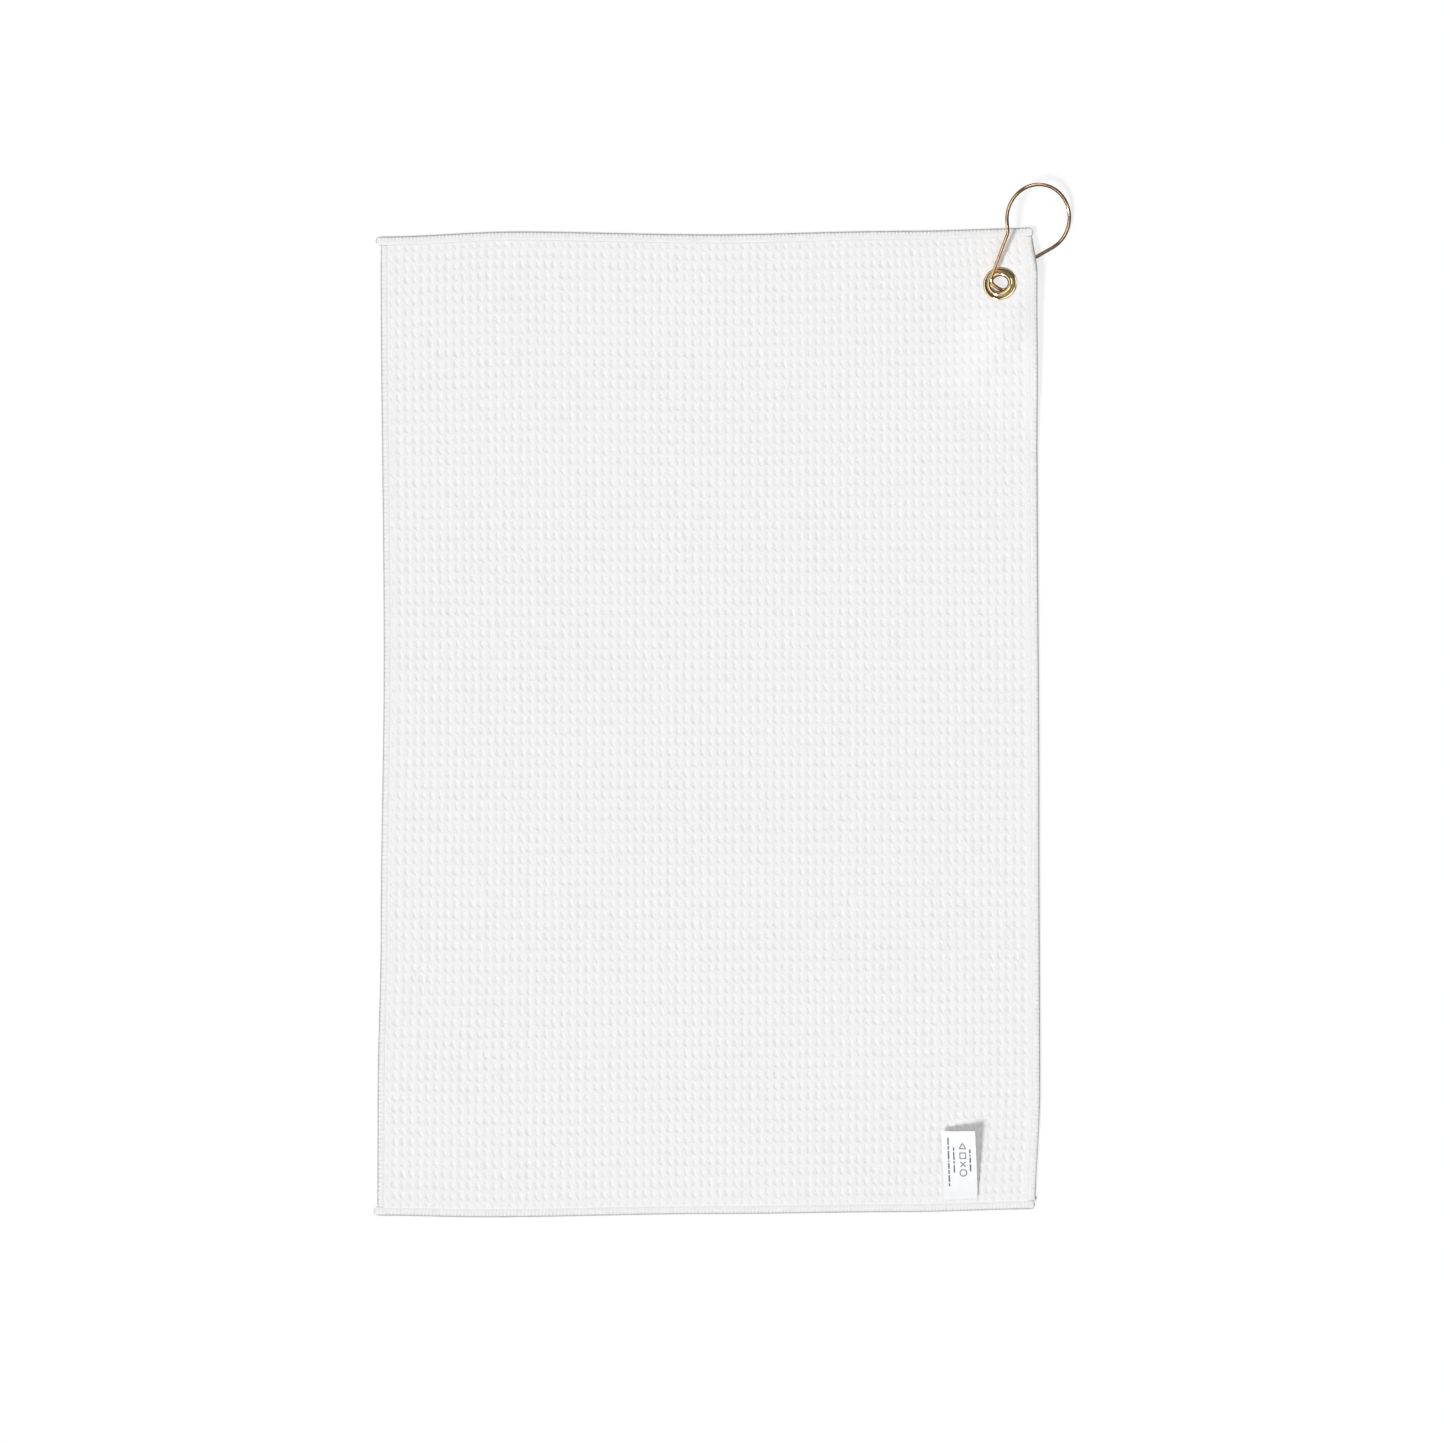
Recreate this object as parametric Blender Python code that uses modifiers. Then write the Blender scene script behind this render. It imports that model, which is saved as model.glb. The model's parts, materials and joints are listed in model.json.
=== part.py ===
"""A golf towel: a waffle cloth panel with overlocked edges, a two-piece grommet in
its upper right corner, a pear-shaped wire hook threaded through the grommet, and a
care label sewn above the bottom hem.

The towel lies face down on the plane z = 0, its length along +Y, with the origin at
the middle of the panel. The back leg of the hook passes under the corner of the
cloth, so the corner stands a few millimetres off the plane, and the grommet is
tilted with it. The hook turns about its own long axis, and swivels with the round
grommet. The label turns about its sewn edge.

Lengths are given in millimetres and drawn in metres.
"""

import math

import bmesh
import bpy
from mathutils import Matrix, Vector

MM = 0.001

# The panel.
PANEL_WIDTH = 406.4
PANEL_LENGTH = 609.6
CLOTH_THICKNESS = 2.0
TONGUE_THICKNESS = 0.6
SIDE_BAND = 5.0
HEM_BAND = 5.6

# The overlock thread that wraps each edge of the cloth.
THREAD_WALL = 0.4
GAP = 0.3

# How far each edge wanders from a straight line, outwards, as (place, offset) pairs.
# The hems reach past the side edges in small rounded ears.
LEFT_WANDER = ((-305, 3.2), (-230, 3.0), (-130, 1.1), (40, -0.8), (288, 1.1), (305, 0.9))
RIGHT_WANDER = ((-305, -1.0), (-230, 1.9), (-60, 1.4), (200, 0.2), (275, -0.5), (305, -3.6))
TOP_WANDER = ((-203, -1.9), (-120, 1.2), (0, -0.6), (120, 1.6), (203, 3.4))
BOTTOM_WANDER = ((-203, 0.2), (-140, 1.2), (0, -0.8), (120, -2.0), (203, -3.8))
TOP_HEM_ENDS = (-207.4, 200.6)
BOTTOM_HEM_ENDS = (-208.6, 201.8)

# The grommet: its centre, on the cloth's middle surface, and its tilt.
GROMMET_CENTRE = (179.9, 273.0, 4.0)
GROMMET_TILT = 15.0
HOLE_RADIUS = 5.0
FLANGE_RADIUS = 10.3
WASHER_RADIUS = 10.5
SHEET = 0.4
PINCHED_THICKNESS = 0.7
RIM_GAP = 0.25
RIM_DROP = 0.25
LIP_OUTER_RADIUS = 8.1
LIP_HEIGHT = 0.9
FLANGE_FILLET = 1.5
POCKET_CLEARANCE = 0.35
CLOTH_HOLE_RADIUS = 6.3
TURNED_STEPS = 40

# The hook: a wire ring, pear-shaped, in its own plane. u runs from the grommet to
# the far end of the loop, and v runs across, towards the leg that lies on top.
HOOK_HEADING = 58.9
HOOK_ROLL = 17.0
HOOK_PITCH = 2.6
HOOK_OFFSET = 0.7
WIRE_RADIUS = 1.05
LOOP_CENTRE = (46.5, 0.6)
LOOP_RADIUS = 20.4
TOP_NECK = (28.8, 12.5)
UNDER_NECK = (25.0, -10.6)
NECK_BEND = 3.5
SMALL_END_U = -2.9
SMALL_END_TOP_V = 6.3
SMALL_END_UNDER_V = -6.3
SMALL_END_BEND = 5.7
CATCH_TIP = (17.0, -7.6)
UNDER_TIP = (8.0, -9.2)

# How the cloth's corner rises over the hook's under leg.
CORNER_RISE = 6.4
RISE_SOFTNESS = 0.8
RISE_LENGTH = 80.0

# The care label, sewn by its lower edge.
LABEL_WIDTH = 21.0
LABEL_LENGTH = 41.0
LABEL_THICKNESS = 0.45
LABEL_FOOT = (155.6, -294.0)
LABEL_LEAN = 2.2
LABEL_LIFT = 5.0
LABEL_HINGE_HEIGHT = 2.95
SEAM_RADIUS = 0.25
SEAM_HEIGHT = 2.35

CLOTH_WHITE = (0.86, 0.87, 0.88, 1.0)
THREAD_WHITE = (0.90, 0.90, 0.91, 1.0)
BRASS = (0.78, 0.60, 0.28, 1.0)
COPPER = (0.62, 0.33, 0.16, 1.0)
SATIN_WHITE = (0.93, 0.94, 0.96, 1.0)


def clear_scene():
    """Removes every object, so that the script can be run again."""
    for obj in list(bpy.data.objects):
        bpy.data.objects.remove(obj)


def new_collection(name):
    """A collection of this name in the scene."""
    collection = bpy.data.collections.new(name)
    bpy.context.scene.collection.children.link(collection)
    return collection


def new_material(name, colour, roughness, metallic=0.0):
    """A Principled material."""
    material = bpy.data.materials.new(name)
    material.use_nodes = True
    shader = material.node_tree.nodes["Principled BSDF"]
    shader.inputs["Base Color"].default_value = colour
    shader.inputs["Roughness"].default_value = roughness
    shader.inputs["Metallic"].default_value = metallic
    return material


def add_object(name, data, collection, material=None):
    """An object of this mesh or curve, in a collection, with its material."""
    obj = bpy.data.objects.new(name, data)
    collection.objects.link(obj)
    if material:
        data.materials.append(material)
    return obj


def mesh_from(bm, name):
    """The bmesh as a mesh, and the bmesh freed."""
    mesh = bpy.data.meshes.new(name)
    bm.to_mesh(mesh)
    bm.free()
    return mesh


def smooth_step(value, low, high):
    """0 at low, 1 at high, and smooth between them."""
    t = min(max((value - low) / (high - low), 0.0), 1.0)
    return t * t * (3 - 2 * t)


def along(table, place):
    """The offset at a place, eased between the (place, offset) pairs of a table."""
    if place <= table[0][0]:
        return table[0][1]
    for (start, before), (end, after) in zip(table, table[1:]):
        if place <= end:
            return before + (after - before) * smooth_step(place, start, end)
    return table[-1][1]


def hook_axes():
    """Unit vectors of the hook at rest: along its long axis, and across it."""
    heading = math.radians(HOOK_HEADING)
    pitch = math.radians(HOOK_PITCH)
    roll = math.radians(HOOK_ROLL)
    ahead = Vector((math.cos(heading), math.sin(heading), 0))
    left = Vector((-math.sin(heading), math.cos(heading), 0))
    up = Vector((0, 0, 1))
    long_axis = ahead * math.cos(pitch) + up * math.sin(pitch)
    lifted = up * math.cos(pitch) - ahead * math.sin(pitch)
    return long_axis, left * math.cos(roll) + lifted * math.sin(roll)


def grommet_matrix():
    """The grommet's own frame: its middle plane tilts down towards the top leg."""
    heading = Matrix.Rotation(math.radians(HOOK_HEADING), 4, "Z")
    tilt = Matrix.Rotation(-math.radians(GROMMET_TILT), 4, "X")
    return Matrix.Translation(Vector(GROMMET_CENTRE) * MM) @ heading @ tilt


def corner_rise(x, y):
    """Height of the cloth's middle surface over its height where it lies flat."""
    heading = math.radians(HOOK_HEADING)
    dx = x - GROMMET_CENTRE[0]
    dy = y - GROMMET_CENTRE[1]
    ahead = dx * math.cos(heading) + dy * math.sin(heading)
    right = dx * math.sin(heading) - dy * math.cos(heading)
    centre_rise = GROMMET_CENTRE[2] - CLOTH_THICKNESS / 2
    slope = centre_rise + math.tan(math.radians(GROMMET_TILT)) * right
    lifted = RISE_SOFTNESS * math.log1p(math.exp(slope / RISE_SOFTNESS))
    room = (CORNER_RISE - lifted) / RISE_SOFTNESS
    held = CORNER_RISE - RISE_SOFTNESS * math.log1p(math.exp(min(room, 30.0)))
    behind = 1 - smooth_step(-ahead, 11.0, RISE_LENGTH)
    before = 1 - 0.4 * smooth_step(ahead, 14.0, 55.0)
    beside = 1 - 0.35 * smooth_step(right, 14.0, 34.0)
    return max(held, 0.0) * behind * before * beside


def cloth_point(x, y):
    """The place on the cloth's middle surface of a point of the straight-edged panel."""
    across = x / (PANEL_WIDTH / 2)
    up = y / (PANEL_LENGTH / 2)
    side = along(RIGHT_WANDER, y) if across > 0 else -along(LEFT_WANDER, y)
    end = along(TOP_WANDER, x) if up > 0 else -along(BOTTOM_WANDER, x)
    moved_x = x + side * smooth_step(abs(across), 0.2, 0.95)
    moved_y = y + end * smooth_step(abs(up), 0.2, 0.96)
    return Vector((moved_x, moved_y, CLOTH_THICKNESS / 2 + corner_rise(moved_x, moved_y)))


def edge_tilt(point, inward):
    """How far the cloth tips, at a point of its edge, along the unit vector that points inwards."""
    reach = SIDE_BAND
    rise = corner_rise(point.x + reach * inward[0], point.y + reach * inward[1])
    return math.atan((rise - corner_rise(point.x, point.y)) / reach)


def spread(start, end, count):
    """count + 1 evenly spaced numbers from start to end."""
    return [start + (end - start) * step / count for step in range(count + 1)]


def panel_lines(half, band, coarse, fine_from, fine):
    """Grid lines across the panel: pinched edges, wide cells, and small cells at the corner."""
    edge = half - THREAD_WALL - GAP
    thin = half - band - GAP
    thick = thin - GAP
    lines = [-edge, -thin] + spread(-thick, fine_from, coarse)
    return lines + spread(fine_from, thick, fine)[1:] + [thin, edge]


def columns():
    """The x of each grid line of the panel."""
    return panel_lines(PANEL_WIDTH / 2, SIDE_BAND, 7, 118.0, 14)


def rows():
    """The y of each grid line of the panel."""
    return panel_lines(PANEL_LENGTH / 2, HEM_BAND, 9, 205.0, 15)


def make_panel(collection, material, cutters):
    """The cloth: a plate, pinched where the thread wraps it and where the grommet grips it."""
    xs = columns()
    ys = rows()
    bm = bmesh.new()
    bmesh.ops.create_grid(bm, x_segments=len(xs) - 1, y_segments=len(ys) - 1, size=0.5)
    thin = TONGUE_THICKNESS / CLOTH_THICKNESS
    weights = {}
    bm.verts.ensure_lookup_table()
    for vert in bm.verts:
        column = round((vert.co.x + 0.5) * (len(xs) - 1))
        row = round((vert.co.y + 0.5) * (len(ys) - 1))
        vert.co = cloth_point(xs[column], ys[row]) * MM
        pinched = column in (0, 1, len(xs) - 2, len(xs) - 1) or row in (0, 1, len(ys) - 2, len(ys) - 1)
        weights[vert.index] = thin if pinched else 1.0
    panel = add_object("towel_panel", mesh_from(bm, "towel_panel"), collection, material)
    group = panel.vertex_groups.new(name="thickness")
    for index, weight in weights.items():
        group.add([index], weight, "REPLACE")
    solid = panel.modifiers.new("Thickness", "SOLIDIFY")
    solid.thickness = CLOTH_THICKNESS * MM
    solid.offset = 0.0
    solid.vertex_group = group.name
    for cutter in cutters:
        cut = panel.modifiers.new(cutter.name, "BOOLEAN")
        cut.operation = "DIFFERENCE"
        cut.object = cutter
    return panel


def make_cutter(name, collection, radius, low, high):
    """A cylinder on the grommet's axis, from low to high above its middle plane."""
    bm = bmesh.new()
    bmesh.ops.create_cone(
        bm,
        cap_ends=True,
        segments=TURNED_STEPS,
        radius1=radius * MM,
        radius2=radius * MM,
        depth=(high - low) * MM,
    )
    bmesh.ops.translate(bm, verts=bm.verts, vec=(0, 0, (low + high) / 2 * MM))
    cutter = add_object(name, mesh_from(bm, name), collection)
    cutter.matrix_world = grommet_matrix()
    cutter.hide_render = True
    cutter.display_type = "WIRE"
    return cutter


def make_grommet_cutters(collection):
    """The hole for the barrel and the two round places where the rings press the cloth thin."""
    half = PINCHED_THICKNESS / 2
    pocket = WASHER_RADIUS + POCKET_CLEARANCE
    return (
        make_cutter("barrel_hole", collection, CLOTH_HOLE_RADIUS, -8, 8),
        make_cutter("washer_pocket", collection, pocket, half, 8),
        make_cutter("flange_pocket", collection, pocket, -8, -half),
    )


def edge_profile(name, band, collection):
    """Section of the thread round a cloth edge, open to the left, where the cloth comes in."""
    half = CLOTH_THICKNESS / 2
    inner = TONGUE_THICKNESS / 2 + GAP
    corner = 0.5
    outline = [
        (-band, half),
        (-corner, half),
        (0, half - corner),
        (0, corner - half),
        (-corner, -half),
        (-band, -half),
        (-band, -inner),
        (-THREAD_WALL, -inner),
        (-THREAD_WALL, inner),
        (-band, inner),
    ]
    curve = bpy.data.curves.new(name, "CURVE")
    curve.dimensions = "2D"
    curve.fill_mode = "NONE"
    spline = curve.splines.new("POLY")
    spline.points.add(len(outline) - 1)
    for point, (x, y) in zip(spline.points, outline):
        point.co = (x * MM, y * MM, 0, 1)
    spline.use_cyclic_u = True
    profile = add_object(name, curve, collection)
    profile.hide_render = True
    profile.display_type = "WIRE"
    return profile


def make_edge_thread(name, path, inward, profile, collection, material):
    """The run of overlock thread along one edge, swept along the edge and tipped with the cloth."""
    curve = bpy.data.curves.new(name, "CURVE")
    curve.dimensions = "3D"
    curve.twist_mode = "Z_UP"
    curve.bevel_mode = "OBJECT"
    curve.bevel_object = profile
    curve.use_fill_caps = True
    spline = curve.splines.new("POLY")
    spline.points.add(len(path) - 1)
    for point, place in zip(spline.points, path):
        point.co = (*(place * MM), 1)
        point.tilt = edge_tilt(place, inward)
    return add_object(name, curve, collection, material)


def side_path(sign, ys):
    """Points along the left (-1) or right (1) edge of the cloth."""
    return [cloth_point(sign * PANEL_WIDTH / 2, y) for y in ys]


def hem_path(sign, ends, xs):
    """Points along the bottom (-1) or top (1) edge, reaching past the sides as ears."""
    half = PANEL_WIDTH / 2
    path = []
    for x in [ends[0]] + xs + [ends[1]]:
        point = cloth_point(min(max(x, -half), half), sign * PANEL_LENGTH / 2)
        point.x = x
        point.z = CLOTH_THICKNESS / 2 + corner_rise(point.x, point.y)
        path.append(point)
    return path


def make_edge_threads(collection, helpers, material):
    """The four runs of overlock thread, one along each edge."""
    side = edge_profile("side_thread_section", SIDE_BAND, helpers)
    hem = edge_profile("hem_thread_section", HEM_BAND, helpers)
    ys = rows()[1:-1]
    xs = columns()[1:-1]
    runs = (
        ("edge_thread_right", side_path(1, ys), (-1, 0), side),
        ("edge_thread_left", side_path(-1, ys)[::-1], (1, 0), side),
        ("edge_thread_top", hem_path(1, TOP_HEM_ENDS, xs)[::-1], (0, -1), hem),
        ("edge_thread_bottom", hem_path(-1, BOTTOM_HEM_ENDS, xs), (0, 1), hem),
    )
    for name, path, inward, section in runs:
        make_edge_thread(name, path, inward, section, collection, material)


def arc(centre, radius_r, radius_z, start, end, steps):
    """Points of an elliptical arc, with the angles in degrees."""
    points = []
    for angle in spread(math.radians(start), math.radians(end), steps):
        points.append((centre[0] + radius_r * math.cos(angle), centre[1] + radius_z * math.sin(angle)))
    return points


def eyelet_section():
    """Section of the eyelet, as (radius, height): flange below, barrel, and rolled lip on top."""
    half = PINCHED_THICKNESS / 2 + RIM_GAP + RIM_DROP
    lip_base = half + SHEET + GAP
    lip_middle = (HOLE_RADIUS + LIP_OUTER_RADIUS) / 2
    lip_half = (LIP_OUTER_RADIUS - HOLE_RADIUS) / 2
    fillet = FLANGE_FILLET
    outside = arc((lip_middle, lip_base), lip_half, LIP_HEIGHT, 0, 180, 8)
    outside += arc((HOLE_RADIUS + fillet, -half - SHEET + fillet), fillet, fillet, 180, 270, 4)
    outside += [(FLANGE_RADIUS - 0.7, -half - SHEET), (FLANGE_RADIUS, -half - 0.1)]
    outside += [(FLANGE_RADIUS, -half + RIM_DROP)]
    inside = [(FLANGE_RADIUS - SHEET, -half + RIM_DROP), (FLANGE_RADIUS - 0.9, -half)]
    inner_fillet = fillet - SHEET
    inside += arc((HOLE_RADIUS + fillet, -half + inner_fillet), inner_fillet, inner_fillet, 270, 180, 3)
    inside += arc((lip_middle, lip_base), lip_half - SHEET, LIP_HEIGHT - SHEET, 180, 0, 8)
    return outside + inside


def washer_section():
    """Section of the washer, as (radius, height): a flat ring whose rim turns down to the cloth."""
    low = PINCHED_THICKNESS / 2 + RIM_GAP + RIM_DROP
    high = low + SHEET
    bore = HOLE_RADIUS + SHEET + GAP
    rim = WASHER_RADIUS
    return [
        (bore, high),
        (bore, low),
        (rim - 1.0, low),
        (rim - SHEET, low - RIM_DROP),
        (rim, low - RIM_DROP),
        (rim, high - 0.6),
        (rim - 0.2, high - 0.25),
        (rim - 0.7, high),
    ]


def make_turned(name, section, collection, material):
    """A turned ring: its closed section is screwed round the grommet's axis."""
    bm = bmesh.new()
    verts = [bm.verts.new((radius * MM, 0, height * MM)) for radius, height in reversed(section)]
    for first, second in zip(verts, verts[1:] + verts[:1]):
        bm.edges.new((first, second))
    ring = add_object(name, mesh_from(bm, name), collection, material)
    ring.matrix_world = grommet_matrix()
    screw = ring.modifiers.new("Turn", "SCREW")
    screw.axis = "Z"
    screw.steps = TURNED_STEPS
    screw.render_steps = TURNED_STEPS
    screw.use_merge_vertices = True
    screw.merge_threshold = 0.00001
    screw.use_normal_calculate = False
    return ring


def tangent_point(point, centre, radius, side):
    """Where the line from a point touches a circle, on the side +1 (left) or -1 (right)."""
    away = Vector(point) - Vector(centre)
    spread_angle = math.acos(radius / away.length)
    angle = math.atan2(away.y, away.x) - side * spread_angle
    return Vector(centre) + radius * Vector((math.cos(angle), math.sin(angle)))


def rounded(before, corner, after, radius, steps):
    """The bend that replaces a corner: points of an arc that touches both straights."""
    into = (Vector(before) - Vector(corner)).normalized()
    out = (Vector(after) - Vector(corner)).normalized()
    half_angle = into.angle(out) / 2
    setback = radius / math.tan(half_angle)
    bisector = (into + out).normalized()
    centre = Vector(corner) + bisector * (radius / math.sin(half_angle))
    start = Vector(corner) + into * setback - centre
    end = Vector(corner) + out * setback - centre
    turn = start.angle_signed(end)
    points = []
    for step in range(steps + 1):
        angle = -turn * step / steps
        points.append(centre + Matrix.Rotation(angle, 2) @ start)
    return points


def hook_outline():
    """The wire's middle line in the hook's plane, from the catch to the tip under the cloth."""
    top_touch = tangent_point(TOP_NECK, LOOP_CENTRE, LOOP_RADIUS, 1)
    under_touch = tangent_point(UNDER_NECK, LOOP_CENTRE, LOOP_RADIUS, -1)
    under_corner = (SMALL_END_U, SMALL_END_UNDER_V)
    top_corner = (SMALL_END_U, SMALL_END_TOP_V)
    points = [Vector(CATCH_TIP)]
    points += rounded(CATCH_TIP, under_corner, top_corner, SMALL_END_BEND, 6)
    points += rounded(under_corner, top_corner, TOP_NECK, SMALL_END_BEND, 6)
    points += rounded(top_corner, TOP_NECK, top_touch, NECK_BEND, 3)
    centre = Vector(LOOP_CENTRE)
    first = top_touch - centre
    last = under_touch - centre
    start = math.atan2(first.y, first.x)
    end = math.atan2(last.y, last.x)
    for angle in spread(start, end, 30):
        points.append(centre + LOOP_RADIUS * Vector((math.cos(angle), math.sin(angle))))
    points += rounded(under_touch, UNDER_NECK, UNDER_TIP, NECK_BEND, 3)
    return points + [Vector(UNDER_TIP)]


def hook_base():
    """The point of the hook's plane that stands in the middle of the grommet's hole."""
    return grommet_matrix() @ Vector((0, 0, HOOK_OFFSET * MM))


def make_hook(collection, material):
    """The wire, with its origin on its long axis at the grommet's hole."""
    long_axis, across = hook_axes()
    curve = bpy.data.curves.new("hook_wire", "CURVE")
    curve.dimensions = "3D"
    curve.bevel_depth = WIRE_RADIUS * MM
    curve.bevel_resolution = 2
    curve.use_fill_caps = True
    outline = hook_outline()
    spline = curve.splines.new("POLY")
    spline.points.add(len(outline) - 1)
    for point, flat in zip(spline.points, outline):
        point.co = (*((long_axis * flat.x + across * flat.y) * MM), 1)
    hook = add_object("hook_wire", curve, collection, material)
    hook.location = hook_base()
    return hook


def label_matrix():
    """The label's frame at its sewn edge: x along the edge, y up the label."""
    place = Vector((*LABEL_FOOT, LABEL_HINGE_HEIGHT)) * MM
    lean = Matrix.Rotation(math.radians(LABEL_LEAN), 4, "Z")
    return Matrix.Translation(place) @ lean


def make_label(collection, material):
    """The tape: a thin plate that turns about its sewn edge and stands a little off the cloth."""
    bm = bmesh.new()
    bmesh.ops.create_cube(bm, size=1.0)
    size = (LABEL_WIDTH * MM, LABEL_LENGTH * MM, LABEL_THICKNESS * MM)
    bmesh.ops.scale(bm, vec=size, verts=bm.verts)
    bmesh.ops.translate(bm, verts=bm.verts, vec=(0, LABEL_LENGTH / 2 * MM, 0))
    label = add_object("care_label", mesh_from(bm, "care_label"), collection, material)
    label.matrix_world = label_matrix() @ Matrix.Rotation(math.radians(LABEL_LIFT), 4, "X")
    return label


def make_label_seam(collection, material):
    """The thread that sews the label's lower edge to the cloth, just below that edge."""
    bm = bmesh.new()
    bmesh.ops.create_cone(
        bm,
        cap_ends=True,
        segments=10,
        radius1=SEAM_RADIUS * MM,
        radius2=SEAM_RADIUS * MM,
        depth=LABEL_WIDTH * MM,
        matrix=Matrix.Rotation(math.pi / 2, 4, "Y"),
    )
    seam = add_object("label_stitch", mesh_from(bm, "label_stitch"), collection, material)
    below = -(SEAM_RADIUS + GAP)
    down = SEAM_HEIGHT - LABEL_HINGE_HEIGHT
    seam.matrix_world = label_matrix() @ Matrix.Translation((0, below * MM, down * MM))
    return seam


def main():
    """Builds the towel."""
    clear_scene()
    towel = new_collection("golf_towel")
    helpers = new_collection("helpers")
    cloth = new_material("waffle_cloth", CLOTH_WHITE, 0.9)
    thread = new_material("overlock_thread", THREAD_WHITE, 0.8)
    brass = new_material("brass", BRASS, 0.25, 1.0)
    copper = new_material("copper_wire", COPPER, 0.28, 1.0)
    satin = new_material("satin_tape", SATIN_WHITE, 0.45)
    make_panel(towel, cloth, make_grommet_cutters(helpers))
    make_edge_threads(towel, helpers, thread)
    make_turned("grommet_eyelet", eyelet_section(), towel, brass)
    make_turned("grommet_washer", washer_section(), towel, brass)
    make_hook(towel, copper)
    make_label(towel, satin)
    make_label_seam(towel, thread)


main()
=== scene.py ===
"""The looks of a golf towel: waffle cloth, overlocked edges, a brass grommet, a
copper wire hook and a sewn satin care label, laid face down on a pale floor.

Lengths are named in millimetres and turned to metres where a mesh takes its points.
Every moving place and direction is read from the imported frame's joints.
"""

from __future__ import annotations

import json
import logging
import math
from contextlib import contextmanager
from dataclasses import dataclass, field
from enum import Enum
from typing import Any, Callable, Iterator, Union

import bmesh
import bpy
import numpy as np
from mathutils import Matrix, Vector, noise


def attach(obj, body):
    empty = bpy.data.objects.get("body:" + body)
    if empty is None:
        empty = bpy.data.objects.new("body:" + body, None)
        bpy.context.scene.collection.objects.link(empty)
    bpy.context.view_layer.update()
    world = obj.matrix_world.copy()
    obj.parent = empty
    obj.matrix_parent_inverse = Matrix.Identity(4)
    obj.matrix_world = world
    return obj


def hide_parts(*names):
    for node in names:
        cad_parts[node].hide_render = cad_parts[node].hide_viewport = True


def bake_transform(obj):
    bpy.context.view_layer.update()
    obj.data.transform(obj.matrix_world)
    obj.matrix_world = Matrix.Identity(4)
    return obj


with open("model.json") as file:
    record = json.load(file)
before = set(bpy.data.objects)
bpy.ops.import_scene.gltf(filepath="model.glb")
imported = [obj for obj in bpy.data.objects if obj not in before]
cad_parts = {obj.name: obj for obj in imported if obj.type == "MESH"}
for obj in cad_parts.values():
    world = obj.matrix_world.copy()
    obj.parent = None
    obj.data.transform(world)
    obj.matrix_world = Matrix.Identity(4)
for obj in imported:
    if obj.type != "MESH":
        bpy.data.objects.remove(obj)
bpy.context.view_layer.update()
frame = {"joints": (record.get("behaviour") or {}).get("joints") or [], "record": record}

log = logging.getLogger("golf_towel")

MM = 0.001

Array = np.ndarray
Colour = tuple[float, float, float]


# ---------------------------------------------------------------- small maths


class ArrayMaths:
    """Functions on arrays that have a twin in SurfaceMaths, so that a formula serves both."""

    @staticmethod
    def fract(value: Array) -> Array:
        """The part of a value after its whole number."""
        return value - np.floor(value)

    @staticmethod
    def size(value: Array) -> Array:
        """The value without its sign."""
        return np.abs(value)

    @staticmethod
    def ease(value: Array, low: float, high: float) -> Array:
        """0 at low, 1 at high, and smooth between them."""
        share = np.clip((value - low) / (high - low), 0.0, 1.0)
        return share * share * (3 - 2 * share)


ease = ArrayMaths.ease


def eased_table(table: tuple[tuple[float, float], ...], place: Array) -> Array:
    """Reads a table of (place, value) pairs, with smooth steps between them.

    Args:
        table: The pairs, in rising order of place.
        place: Where to read the table.

    Returns:
        The value at each place.
    """
    places = np.array([pair[0] for pair in table], float)
    values = np.array([pair[1] for pair in table], float)
    before = np.clip(np.searchsorted(places, place) - 1, 0, len(table) - 2)
    share = ease(place, places[before], places[before + 1])
    return values[before] + (values[before + 1] - values[before]) * share


def joint(name: str) -> tuple[Vector, Vector]:
    """The place and the direction of a joint of the frame, in metres.

    Args:
        name: The joint's name in the record.

    Returns:
        A point of the joint's axis, and the axis as a unit vector.
    """
    found = next(row for row in frame["joints"] if row["name"] == name)
    return Vector(found["pos_m"]), Vector(found["axis"]).normalized()


# ---------------------------------------------------------------- shader maths


Number = Union[float, int, "Value"]


def arithmetic(operation: str, swapped: bool = False) -> Callable[["Value", Number], "Value"]:
    """Makes a method that adds one Math node.

    Args:
        operation: The node's operation.
        swapped: Whether the other value comes first.

    Returns:
        The method.
    """

    def method(self: "Value", other: Number) -> "Value":
        """This value and another, through the node."""
        values = (other, self) if swapped else (self, other)
        return self.maths(operation, *values)

    return method


class Value:
    """A number that varies over a surface, with Python's arithmetic."""

    def __init__(self, nodes: "NodeTree", socket: bpy.types.NodeSocket) -> None:
        """Wraps the output socket of a node."""
        self.nodes = nodes
        self.socket = socket

    def maths(self, operation: str, *values: Number) -> "Value":
        """One Math node with the values as its inputs, in order."""
        sockets = dict(enumerate(values))
        return self.nodes.value("ShaderNodeMath", {"operation": operation}, sockets)

    __add__ = arithmetic("ADD")
    __radd__ = arithmetic("ADD", swapped=True)
    __sub__ = arithmetic("SUBTRACT")
    __rsub__ = arithmetic("SUBTRACT", swapped=True)
    __mul__ = arithmetic("MULTIPLY")
    __rmul__ = arithmetic("MULTIPLY", swapped=True)


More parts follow.
